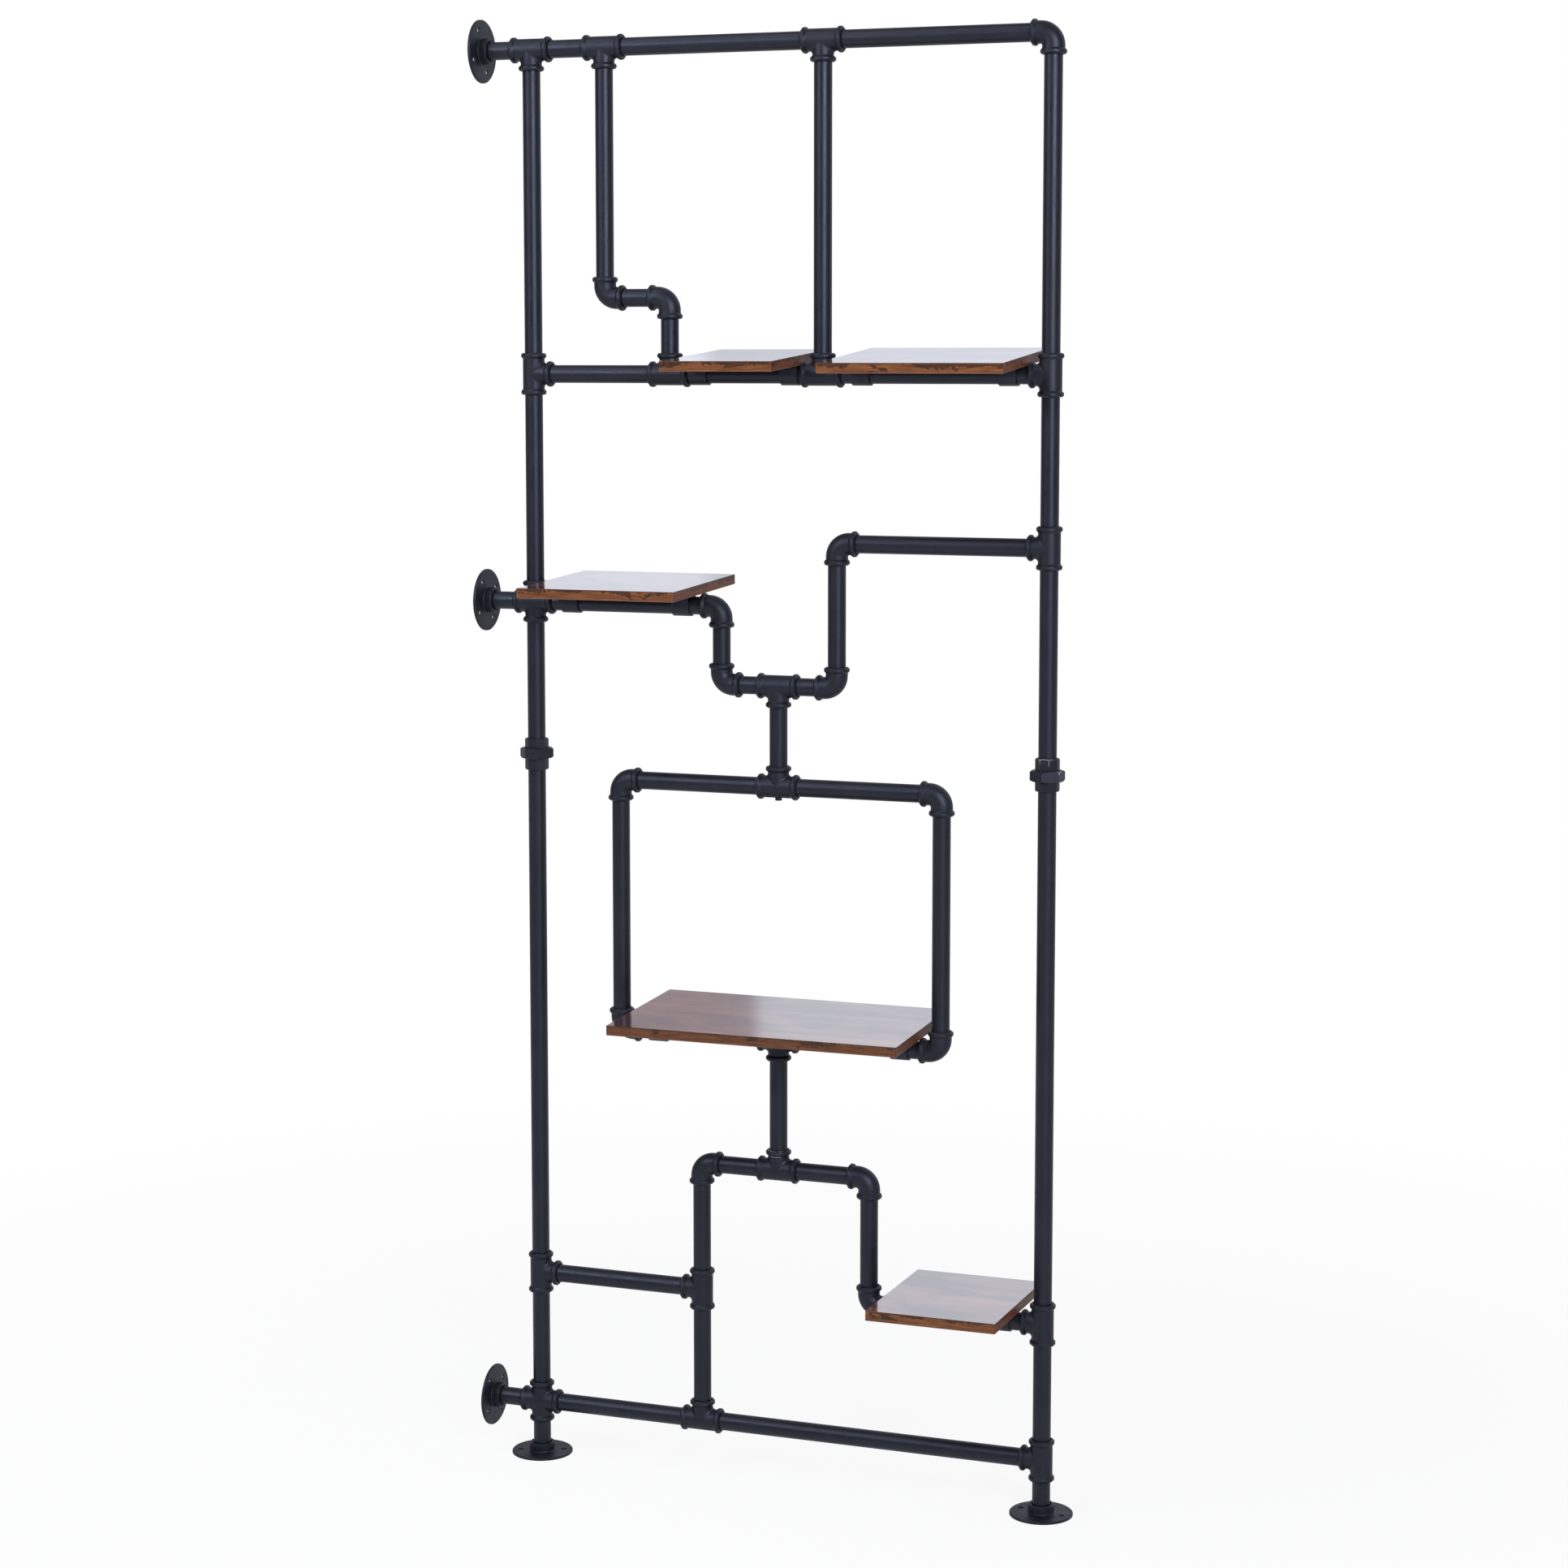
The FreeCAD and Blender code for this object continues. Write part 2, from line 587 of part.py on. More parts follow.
def check_change(body, name, adds, before):
    """A feature that adds must leave the body larger and one that cuts must not."""
    after = volume_of(body)
    if (after > before) != adds or abs(after - before) < SAME:
        raise ValueError("%s of %s changed %.1f to %.1f" % (name, body.Name, before, after))


# ------------------------------------------------------------------ placing and grouping

def place(thing, column, level, turn, spin=0):
    """Stand a thing at a column and a level, after a spin about its own Z axis."""
    place_at(thing, COLUMNS[column], "0", LEVELS[level], turn, spin)


def place_at(thing, across, back, up, turn=UPRIGHT, spin=0, swing=0):
    """Put a thing at a point after a spin about its own Z axis, a turn about Y and a swing
    about X."""
    rotation = FreeCAD.Rotation(VECTOR(1, 0, 0), swing)
    rotation = rotation.multiply(FreeCAD.Rotation(VECTOR(0, 1, 0), turn))
    rotation = rotation.multiply(FreeCAD.Rotation(VECTOR(0, 0, 1), spin))
    thing.Placement = FreeCAD.Placement(VECTOR(0, 0, 0), rotation)
    thing.setExpression("Placement.Base.x", across)
    thing.setExpression("Placement.Base.y", back)
    thing.setExpression("Placement.Base.z", up)


def place_on_pipe(thing, across, level, swing, back="0", rise="0"):
    """Put a thing at a point beside a pipe along X, and swing it about the axis of the pipe.
    The point is how far back and how high it is from that axis before the swing."""
    turned_back = "(%s * cos(%g) - %s * sin(%g))" % (back, swing, rise, swing)
    turned_up = "(%s + %s * sin(%g) + %s * cos(%g))" % (level, back, swing, rise, swing)
    place_at(thing, across, turned_back, turned_up, swing=swing)


def copy_of(master, name):
    link = DOCUMENT.addObject("App::Link", name)
    link.LinkedObject = master
    return link


def group(name, members):
    """One node of several separate solids."""
    compound = DOCUMENT.addObject("Part::Compound", name)
    compound.Links = members
    return compound


# ------------------------------------------------------------------ fittings

def bead_steps(body_radius):
    """The bead at one end of a fitting, from the plain body to the end face: how far each
    corner is from the end face, and its radius."""
    return (
        ("Sizes.bead_width", body_radius),
        ("(Sizes.bead_lip + Sizes.bead_crest)", BEAD_RADIUS),
        ("Sizes.bead_lip", BEAD_RADIUS),
        ("0", FACE_RADIUS),
    )


def leg_along_x(sign, body_radius):
    """Corners of one leg, outwards, for an outline turned about X."""
    return [("%s(%s - %s)" % (sign, REACH, inset), radius)
            for inset, radius in bead_steps(body_radius)]


def leg_along_z(sign, body_radius):
    """Corners of one leg, outwards, for an outline turned about Z."""
    return [(up, across) for across, up in leg_along_x(sign, body_radius)]


def run_outline():
    """Both beads and the body of a run along X."""
    left = leg_along_x("-", RUN_RADIUS)
    right = leg_along_x("", RUN_RADIUS)
    corners = [("-" + REACH, "0")]
    corners += left[::-1]
    corners += right
    corners.append((REACH, "0"))
    return corners


def socket_steps(floor):
    """Corners of a socket from its floor out past the end face: distance and radius."""
    mouth = "(%s - Sizes.socket_lead)" % REACH
    past = "(%s + %s)" % (REACH, OVERRUN)
    flare = "(%s + Sizes.socket_lead + %s)" % (SOCKET_RADIUS, OVERRUN)
    return ((floor, SOCKET_RADIUS), (mouth, SOCKET_RADIUS), (past, flare), (past, "0"))


def run_bore():
    """The waterway and the two sockets of a run along X."""
    right = [("0", BORE_RADIUS), (SOCKET_FLOOR, BORE_RADIUS)]
    right += socket_steps(SOCKET_FLOOR)
    left = [("-" + along, out) for along, out in right[1:]]
    return left[::-1] + right[1:]


def branch_bore(sign):
    """The waterway and the socket of a branch along Z."""
    steps = [("0", "0"), ("0", BORE_RADIUS), (SOCKET_FLOOR, BORE_RADIUS)]
    steps += socket_steps(SOCKET_FLOOR)
    return [(out, along if along == "0" else sign + along) for along, out in steps]


def make_run_fitting(name, branches, with_nub=False):
    """A tee or cross: a run along X with a branch up, or one up and one down."""
    body = make_body(name)
    turn_profile(body, "run", run_outline(), "H_Axis")
    if with_nub:
        foot = "-(%s + Sizes.nub_height)" % RUN_RADIUS
        nub = [("0", foot), ("Sizes.nub_radius", foot), ("Sizes.nub_radius", "0"), ("0", "0")]
        turn_profile(body, "nub", nub, "V_Axis")
    for side, sign in branches:
        corners = [("0", "0"), (BRANCH_RADIUS, "0")]
        corners += leg_along_z(sign, BRANCH_RADIUS)
        corners.append(("0", sign + REACH))
        turn_profile(body, "branch_" + side, corners, "V_Axis")
    round_edges(body, "crotch", is_branch_crotch, "Sizes.crotch_fillet")
    crest = value_of(BEAD_RADIUS)
    round_edges(body, "crests", lambda edge: is_circle(edge, crest), "Sizes.bead_round")
    turn_profile(body, "run_bore", run_bore(), "H_Axis", "Groove")
    for side, sign in branches:
        turn_profile(body, "bore_" + side, branch_bore(sign), "V_Axis", "Groove")
    return body


def is_branch_crotch(edge):
    """Where a branch meets the run, and not where the small nub does."""
    reach = value_of(BRANCH_RADIUS)
    return is_crotch(edge) and edge.BoundBox.YLength > reach


def elbow_leg(sign):
    """One leg of an elbow from the bend to its end face: distance and radius."""
    steps = [(BEND_RADIUS, "0"), (BEND_RADIUS, RUN_RADIUS)]
    steps += leg_along_x(sign, RUN_RADIUS)
    steps.append((REACH, "0"))
    return steps


def make_elbow(name):
    """An elbow with one leg up and one leg right, joined by a bend."""
    body = make_body(name)
    turn_bend(body, "bend", RUN_RADIUS, "Revolution")
    leg = elbow_leg("")
    turn_profile(body, "right_leg", leg, "H_Axis")
    turn_profile(body, "upper_leg", [(out, along) for along, out in leg], "V_Axis")
    crest = value_of(BEAD_RADIUS)
    round_edges(body, "crests", lambda edge: is_circle(edge, crest), "Sizes.bead_round")
    turn_bend(body, "bend_bore", BORE_RADIUS, "Groove")
    socket = [(SOCKET_FLOOR, "0")]
    socket += socket_steps(SOCKET_FLOOR)
    turn_profile(body, "right_socket", socket, "H_Axis", "Groove")
    upright = [(out, along) for along, out in socket]
    turn_profile(body, "upper_socket", upright, "V_Axis", "Groove")
    return body


# ------------------------------------------------------------------ flanges and unions

def make_flange(name):
    """A round flange: disc, hub with a blend, threaded bore and four screw holes."""
    body = make_body(name)
    hub_top = "Sizes.hub_height"
    lead_top = "(%s + Sizes.hub_lead)" % SOCKET_RADIUS
    edge = "Sizes.flange_edge"
    turn_profile(body, "disc_and_hub", [
        (SOCKET_RADIUS, "0"),
        ("Sizes.flange_radius", "0"),
        ("Sizes.flange_radius", "Sizes.flange_thickness - " + edge),
        ("Sizes.flange_radius - " + edge, "Sizes.flange_thickness"),
        (HUB_RADIUS, "Sizes.flange_thickness"),
        (HUB_RADIUS, hub_top + " - " + edge),
        (HUB_RADIUS + " - " + edge, hub_top),
        (lead_top, hub_top),
        (SOCKET_RADIUS, hub_top + " - Sizes.hub_lead"),
    ], "V_Axis")
    root_radius = value_of(HUB_RADIUS)
    root_height = value_of("Sizes.flange_thickness")

    def is_root(rim):
        return is_circle(rim, root_radius) and abs(rim.BoundBox.Center.z - root_height) < SAME

    round_edges(body, "hub_blend", is_root, "Sizes.hub_fillet")
    hole = drill(body, "screw_hole", [("Sizes.screw_circle", "0", "Sizes.screw_hole_radius")],
                 "Sizes.flange_thickness + " + OVERRUN)
    before = volume_of(body)
    pattern = body.newObject("PartDesign::PolarPattern", name + "_screw_holes")
    pattern.Originals = [hole]
    pattern.Axis = (hole.Profile[0], ["N_Axis"])
    pattern.Angle = FULL_TURN
    pattern.Occurrences = FLANGE_SCREWS
    body.Tip = pattern
    check_change(body, "screw_holes", False, before)
    return body


def corner_ring(flat, sides, height, sign):
    """The ring that a lathe takes off the corners of a nut at its upper or lower face."""
    outer = "(%s + %s)" % (corner_radius(sides, flat), OVERRUN)
    past = "(%s %s %s)" % (height, sign, OVERRUN)
    inward = "-" if sign == "+" else "+"
    foot = "(%s %s Sizes.union_chamfer)" % (height, inward)
    return [(flat, height), (outer, foot), (outer, past), (flat, past)]


def make_union_nut(name):
    """The hexagon nut: thread bore below and a lip that draws the tail end down."""
    body = make_body(name)
    foot = "(-Sizes.union_nut_length / 2)"
    top = "(Sizes.union_nut_length / 2)"
    corners = polygon_corners(NUT_SIDES, UNION_NUT_FLAT)
    pad_outline(body, "hexagon", corners, "Sizes.union_nut_length", foot)
    for side, height, sign in (("top", top, "+"), ("foot", foot, "-")):
        ring = corner_ring(UNION_NUT_FLAT, NUT_SIDES, height, sign)
        turn_profile(body, side + "_chamfer", ring, "V_Axis", "Groove")
    lip = "(Sizes.union_seat + Sizes.union_shoulder_length)"
    thread = "(%s + Sizes.union_clearance)" % UNION_SPIGOT
    neck = "(%s + Sizes.union_clearance)" % UNION_NECK
    turn_profile(body, "bore", [
        ("0", foot + " - " + OVERRUN),
        (thread, foot + " - " + OVERRUN),
        (thread, lip),
        (neck, lip),
        (neck, top + " + " + OVERRUN),
        ("0", top + " + " + OVERRUN),
    ], "V_Axis", "Groove")
    return body


def make_union_end(name, sign, face, neck):
    """One end of a union, above (+) or below (-) its middle: an octagon with turned outer
    corners, the stepped neck inside the nut, a socket for the pipe and the waterway."""
    body = make_body(name)
    nut_face = "(Sizes.union_nut_length / 2)"
    foot = nut_face if sign == "+" else "(-%s)" % face
    corners = polygon_corners(END_SIDES, UNION_END_FLAT)
    pad_outline(body, "octagon", corners, "(%s - %s)" % (face, nut_face), foot)
    ring = corner_ring(UNION_END_FLAT, END_SIDES, "(%s%s)" % (sign, face), sign)
    turn_profile(body, "end_chamfer", ring, "V_Axis", "Groove")
    turn_profile(body, "neck", neck, "V_Axis")
    floor = "(%s - Sizes.thread_engagement - Sizes.socket_spare)" % face
    mouth = "(%s - Sizes.socket_lead)" % face
    past = "(%s + %s)" % (face, OVERRUN)
    flare = "(%s + Sizes.socket_lead + %s)" % (SOCKET_RADIUS, OVERRUN)
    seat = "0" if sign == "+" else "(Sizes.union_seat + %s)" % OVERRUN
    turn_profile(body, "socket", [
        ("0", seat),
        (BORE_RADIUS, seat),
        (BORE_RADIUS, sign + floor),
        (SOCKET_RADIUS, sign + floor),
        (SOCKET_RADIUS, sign + mouth),
        (flare, sign + past),
        ("0", sign + past),
    ], "V_Axis", "Groove")
    return body


def thread_neck():
    """The threaded spigot of the thread end, up to the seat."""
    foot = "(-Sizes.union_nut_length / 2)"
    return [
        ("0", foot),
        (UNION_SPIGOT, foot),
        (UNION_SPIGOT, "Sizes.union_seat"),
        ("0", "Sizes.union_seat"),
    ]


def tail_neck():
    """The shoulder of the tail end on the seat, and its neck through the nut's lip."""
    lip = "(Sizes.union_seat + Sizes.union_shoulder_length)"
    top = "(Sizes.union_nut_length / 2)"
    return [
        ("0", "Sizes.union_seat"),
        (UNION_SHOULDER, "Sizes.union_seat"),
        (UNION_SHOULDER, lip),
        (UNION_NECK, lip),
        (UNION_NECK, top),
        ("0", top),
    ]


# ------------------------------------------------------------------ pipes

def pipe_end(place):
    """How far a pipe's end is from the place that its run is named by."""
    return PIPE_ENDS.get(place, PIPE_START)


def make_pipe(name, run):
    """One pipe with both ends chamfered, turned about its axis and stood in its run."""
    line, start, end = run
    level = line in LEVELS
    stations = COLUMNS if level else LEVELS
    first = "(%s + %s)" % (stations[start], pipe_end(start))
    length = "(%s - %s - %s)" % (stations[end], pipe_end(end), first)
    inner = "(Sizes.pipe_radius - Sizes.pipe_wall)"
    chamfered = "(Sizes.pipe_radius - Sizes.pipe_chamfer)"
    body = make_body(name)
    turn_profile(body, "wall", [
        (inner, "0"),
        (chamfered, "0"),
        ("Sizes.pipe_radius", "Sizes.pipe_chamfer"),
        ("Sizes.pipe_radius", length + " - Sizes.pipe_chamfer"),
        (chamfered, length),
        (inner, length),
    ], "V_Axis")
    if level:
        place_at(body, first, "0", LEVELS[line], ALONG_X)
    else:
        place_at(body, COLUMNS[line], "0", first)
    return body


# ------------------------------------------------------------------ boards and straps

def board_ends(start, end, reach_past):
    """The middle of a board along X and its length."""
    middle = "((%s + %s) / 2)" % (COLUMNS[start], COLUMNS[end])
    pitch = "(%s - %s)" % (COLUMNS[end], COLUMNS[start])
    length = "(%s - 2 * %s + 2 * %s)" % (pitch, REACH, reach_past)
    return middle, length


def strap_offset(start, end, inset):
    """From the middle of a board to the middle of each of its straps."""
    pitch = "(%s - %s)" % (COLUMNS[end], COLUMNS[start])
    return "(%s / 2 - %s - %s)" % (pitch, REACH, inset)


def make_board(name, level, start, end, reach_past, underside, inset, swing):
    """A board with eased edges and blind holes below for the screws of its straps."""
    body = make_body(name)
    middle, length = board_ends(start, end, reach_past)
    half = "(%s / 2)" % length
    deep = "(Sizes.board_depth / 2)"
    pad_outline(body, "slab", [
        ("-" + half, "-" + deep),
        (half, "-" + deep),
        (half, deep),
        ("-" + half, deep),
    ], "Sizes.board_thickness")
    round_edges(body, "eased", lambda edge: True, "Sizes.board_ease")
    offset = strap_offset(start, end, inset)
    radius = "(Sizes.strap_screw_radius + Sizes.strap_screw_gap)"
    holes = [("-" + offset, "-" + SCREW_LINE, radius), (offset, "-" + SCREW_LINE, radius),
             ("-" + offset, SCREW_LINE, radius), (offset, SCREW_LINE, radius)]
    bite = "(Sizes.strap_screw_length - Sizes.strap_thickness + 2 * Sizes.strap_screw_gap)"
    drill(body, "screw_holes", holes, bite)
    place_on_pipe(body, middle, LEVELS[level], swing, rise=underside)
    return body


def make_strap(name, underside):
    """A U of flat bar under the pipe with two ears flat under the board, its own frame on
    the axis of the pipe, drawn across the pipe and padded along it."""
    body = make_body(name)
    inner = "(Sizes.pipe_radius + Sizes.strap_clearance)"
    outer = "(%s + Sizes.strap_thickness)" % inner
    sweep = "(Sizes.strap_bend + Sizes.strap_thickness)"
    knee = "(%s + Sizes.strap_bend)" % outer
    tip = "(%s + Sizes.strap_ear)" % outer
    shoulder = "(%s - %s)" % (underside, sweep)
    below = "(%s - Sizes.strap_thickness)" % underside
    before = volume_of(body)
    sketch = make_sketch(body, "outline", "YZ_Plane")
    draw_outline(sketch, [
        (inner, "0"),
        (inner, shoulder, sweep, RIGHTWARD),
        (knee, underside),
        (tip, underside),
        (tip, below),
        (knee, below, "Sizes.strap_bend", LEFTWARD),
        (outer, shoulder),
        (outer, "0", outer, RIGHTWARD),
        ("0", "-" + outer, outer, RIGHTWARD),
        ("-" + outer, "0"),
        ("-" + outer, shoulder, "Sizes.strap_bend", LEFTWARD),
        ("-" + knee, below),
        ("-" + tip, below),
        ("-" + tip, underside),
        ("-" + knee, underside, sweep, RIGHTWARD),
        ("-" + inner, shoulder),
        ("-" + inner, "0", inner, LEFTWARD),
        ("0", "-" + inner, inner, LEFTWARD),
    ])
    pad = body.newObject("PartDesign::Pad", name + "_bar")
    pad.Profile = sketch
    pad.Midplane = True
    pad.setExpression("Length", "Sizes.strap_width")
    check_change(body, "bar", True, before)
    radius = "(Sizes.strap_screw_radius + Sizes.strap_screw_gap)"
    drill(body, "screw_holes", [("0", "-" + SCREW_LINE, radius), ("0", SCREW_LINE, radius)],
          "%s + %s" % (underside, OVERRUN))
    return body


def make_strap_screw(name):
    """A domed wood screw, point up, its own frame under the head."""
    body = make_body(name)
    rim = "(Sizes.strap_screw_dome / 2)"
    turn_profile(body, "screw", [
        ("0", "-Sizes.strap_screw_dome"),
        ("Sizes.strap_screw_head - " + rim, "-Sizes.strap_screw_dome"),
        ("Sizes.strap_screw_head", "-" + rim),
        ("Sizes.strap_screw_head", "0"),
        ("Sizes.strap_screw_radius", "0"),
        ("Sizes.strap_screw_radius", "Sizes.strap_screw_length - Sizes.strap_screw_point"),
        ("0", "Sizes.strap_screw_length"),
    ], "V_Axis")
    return body


# ------------------------------------------------------------------ the whole unit

def build_fittings():
    """Tees, elbows and crosses. Each kind is made once and copied to its places."""
    nodes = []
    tee = make_run_fitting("tee", (("up", ""),))
    elbow = make_elbow("elbow")
    for master, table in ((tee, TEES), (elbow, ELBOWS)):
        for name, places in table:
            copies = []
            for number, (column, level, turn) in enumerate(places, start=1):
                copy = copy_of(master, "%s_copy_%d" % (name, number))
                place(copy, column, level, turn)
                copies.append(copy)
            nodes.append(group(name, copies))
    box_top = make_run_fitting("box_top_tee", (("up", ""),), with_nub=True)
    place(box_top, "box_centre", "box_top", BRANCH_UP)
    nodes.append(box_top)
    for name, column, level in CROSSES:
        cross = make_run_fitting(name, (("up", ""), ("down", "-")))
        place(cross, column, level, UPRIGHT)
        nodes.append(cross)
    return nodes


def build_flanges():
    nodes = []
    for name, column, level, turn, spin in FLANGES:
        flange = make_flange(name)
        place(flange, column, level, turn, spin)
        nodes.append(flange)
    return nodes


def build_unions():
    nodes = []
    for side, column, turn, spin in UNIONS:
        pieces = (
            (make_union_end("union_thread_end_" + side, "-", THREAD_FACE, thread_neck()), 0),
            (make_union_nut("union_nut_" + side), spin),
            (make_union_end("union_tail_end_" + side, "+", TAIL_FACE, tail_neck()), 0),
        )
        for piece, turned in pieces:
            place(piece, column, "union", turn, turned)
            nodes.append(piece)
    return nodes


def build_pipes():
    nodes = []
    for name, runs in PIPES:
        if len(runs) == 1:
            nodes.append(make_pipe(name, runs[0]))
            continue
        members = [make_pipe("%s_%d" % (name, number), run)
                   for number, run in enumerate(runs, start=1)]
        nodes.append(group(name, members))
    return nodes


def build_boards():
    """Boards, and the straps and screws that clip each of them to its pipe."""
    nodes = []
    low = make_strap("low_strap", ON_PIPE)
    tall = make_strap("tall_strap", ON_BEADS)
    screw = make_strap_screw("strap_screw")
    copies = {"low_straps": [], "tall_straps": [], "strap_screws": []}
    for name, level, start, end, reach_past, underside, inset, swing in BOARDS:
        nodes.append(make_board(name, level, start, end, reach_past, underside, inset, swing))
        middle = board_ends(start, end, reach_past)[0]
        offset = strap_offset(start, end, inset)
        kind, master = ("low_straps", low) if underside == ON_PIPE else ("tall_straps", tall)
        head = "(%s - Sizes.strap_thickness)" % underside
        for side in SIDES:
            across = "(%s + %d * %s)" % (middle, side, offset)
            strap = copy_of(master, "%s_strap_%d" % (name, len(copies[kind])))
            place_on_pipe(strap, across, LEVELS[level], swing)
            copies[kind].append(strap)
            for ear in SIDES:
                number = len(copies["strap_screws"])
                fastener = copy_of(screw, "%s_screw_%d" % (name, number))
                back = "(%d * %s)" % (ear, SCREW_LINE)
                place_on_pipe(fastener, across, LEVELS[level], swing, back, head)
                copies["strap_screws"].append(fastener)
    nodes += [group(name, members) for name, members in copies.items()]
    return nodes


def check_document(nodes):
    """Every object has computed, and every node has a sound shape, before any is written."""
    for thing in DOCUMENT.Objects:
        if "Invalid" in thing.State or "Error" in thing.State:
            raise ValueError("%s failed: %s" % (thing.Name, thing.State))
    for node in nodes:
        if node.Shape.isNull() or not node.Shape.isValid() or not node.Shape.Solids:
            raise ValueError("no sound shape in " + node.Label)


def write_nodes(nodes):
    os.makedirs("parts", exist_ok=True)
    for node in nodes:
        node.Shape.exportStep(os.path.join("parts", node.Label + ".step"))
        print("%-26s %2d solids %10.1f mm3" % (
            node.Label, len(node.Shape.Solids), node.Shape.Volume))


NODES = build_fittings() + build_flanges() + build_unions() + build_pipes() + build_boards()
DOCUMENT.recompute()
check_document(NODES)
write_nodes(NODES)
print("%d nodes, %d solids" % (len(NODES), sum(len(node.Shape.Solids) for node in NODES)))
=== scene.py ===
import math
from collections import namedtuple

import bmesh
import bpy
from mathutils import Matrix, Vector


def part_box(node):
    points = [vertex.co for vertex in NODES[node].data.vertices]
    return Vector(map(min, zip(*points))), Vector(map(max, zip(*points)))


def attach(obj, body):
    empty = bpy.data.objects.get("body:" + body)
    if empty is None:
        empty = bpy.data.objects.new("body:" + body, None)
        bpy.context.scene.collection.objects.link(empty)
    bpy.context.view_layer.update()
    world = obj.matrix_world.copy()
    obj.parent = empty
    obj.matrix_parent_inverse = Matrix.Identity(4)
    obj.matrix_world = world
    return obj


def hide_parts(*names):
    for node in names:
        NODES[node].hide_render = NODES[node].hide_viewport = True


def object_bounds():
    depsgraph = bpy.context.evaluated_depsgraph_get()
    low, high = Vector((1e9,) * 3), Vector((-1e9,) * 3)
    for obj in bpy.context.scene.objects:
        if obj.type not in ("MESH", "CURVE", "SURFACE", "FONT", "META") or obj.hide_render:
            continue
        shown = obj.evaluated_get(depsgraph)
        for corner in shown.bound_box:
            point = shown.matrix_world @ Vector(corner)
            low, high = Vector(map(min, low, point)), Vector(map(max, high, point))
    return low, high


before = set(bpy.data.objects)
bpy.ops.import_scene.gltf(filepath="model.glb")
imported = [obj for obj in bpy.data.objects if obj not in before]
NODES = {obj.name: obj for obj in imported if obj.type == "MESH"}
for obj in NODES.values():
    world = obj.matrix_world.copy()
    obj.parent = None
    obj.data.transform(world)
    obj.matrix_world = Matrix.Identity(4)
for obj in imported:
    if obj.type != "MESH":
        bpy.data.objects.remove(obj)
CAD_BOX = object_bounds()
MM = 0.001

# ---------------------------------------------------------------- the object

# Board: height of the axis of its pipe, how far its front edge leans down in degrees, how high
# its top is above that axis, and how much darker than the others its edge strip is, as painted
# shade.
Board = namedtuple("Board", "pipe_height lean top edge_shade")
BOARDS = {
    "top_left_board": Board(1.337, 4.0, 22.65 * MM, 0.05),
    "top_right_board": Board(1.337, 5.0, 22.65 * MM, 0.0),
    "middle_board": Board(1.063, 2.5, 27.2 * MM, 0.05),
    "box_board": Board(0.545, 2.0, 27.2 * MM, 0.40),
    "lower_board": Board(0.230, -1.2, 22.65 * MM, 0.15),
}
SEED_STEP = 0.731
STRAPS = ("low_straps", "tall_straps")
SCREWS = "strap_screws"

# Screw heads: their height, and the shape of one as shares of its radius or height.
HEAD_HEIGHT = 2.2 * MM
HEAD_RINGS = 11
HEAD_SPOKES = 36
HEAD_CENTRE = 0.02
HEAD_FLAT = 0.55
HEAD_FALL = 0.55
HEAD_ROUND = 2.2
CROSS_LENGTH = 0.62
CROSS_WIDTH = 0.16
CROSS_FLARE = 0.10
CROSS_DEPTH = 0.62
CROSS_RAMP = 0.35
SHARP_ANGLE = math.radians(35)

# Mouths of two tees where paint is knocked off, as it is at the right union.
BARED_TEE = (6.25 * MM, -12 * MM, 411 * MM)
BARED_POLE_HEIGHT = 1312 * MM

# ---------------------------------------------------------------- finishes, in linear colours

PIPE_DARK = (0.0056, 0.0044, 0.0068)
PIPE_LIGHT = (0.0096, 0.0080, 0.0112)
IRON_DARK = (0.0050, 0.0040, 0.0062)
IRON_LIGHT = (0.0092, 0.0080, 0.0110)
FLANGE_DARK = (0.0042, 0.0038, 0.0056)
FLANGE_LIGHT = (0.0095, 0.0088, 0.0122)
RUBBED = (0.085, 0.088, 0.100)
BARE_METAL = (0.80, 0.80, 0.83)
PAINT_GLINT = (0.66, 0.74, 1.0)

# Noises of the paint.
MOTTLE = dict(scale=26.0, detail=5.0, rough=0.6)
EVENNESS = dict(scale=60.0, detail=4.0, rough=0.6)
PATCHES = dict(scale=120.0, detail=4.0, rough=0.65)
CHIPS = dict(scale=420.0, detail=3.0, rough=0.7)
FINE_GRAIN = dict(scale=900.0, detail=3.0, rough=0.6)
COARSE_GRAIN = dict(detail=4.0, rough=0.65)

WORN_EDGE = 0.9 * MM            # how far from an arris the paint is worn
FINE_SHARE = 0.5                # part of the fine grain in the bumps
PAINT_BUMP = 0.25 * MM
SEAM_EDGE = 0.2 * MM, 0.7 * MM  # from the middle plane, where the seam falls off
SEAM_RAGGED = 0.5 * MM
PAINT_SPECULAR = 0.50
BARED_METALLIC = 0.25
BARED_RIM = 0.7                 # share of a bared spot's radius that is fully bared
BEVEL_SAMPLES = 6

# Laminate: position on the ramp and colour, from dark to light.
FACE_STREAKS = (
    (0.32, (0.092, 0.028, 0.020)),
    (0.44, (0.190, 0.063, 0.040)),
    (0.56, (0.275, 0.098, 0.060)),
    (0.70, (0.370, 0.152, 0.098)),
)
FACE_CLOUD = (0.060, 0.027, 0.030)
FACE_PORE = (0.036, 0.014, 0.010)
EDGE_LINES = (
    (0.30, (0.060, 0.018, 0.008)),
    (0.43, (0.145, 0.046, 0.016)),
    (0.56, (0.225, 0.076, 0.025)),
    (0.70, (0.310, 0.120, 0.044)),
)
# Dark brown of the knots, and also the colour that the painted shade of an edge strip darkens
# towards.
EDGE_KNOT_AND_SHADE = (0.028, 0.010, 0.006)
EDGE_END = (0.105, 0.032, 0.022)
EDGE_FOOT = (0.260, 0.120, 0.095)
ARRIS = (0.50, 0.40, 0.39)

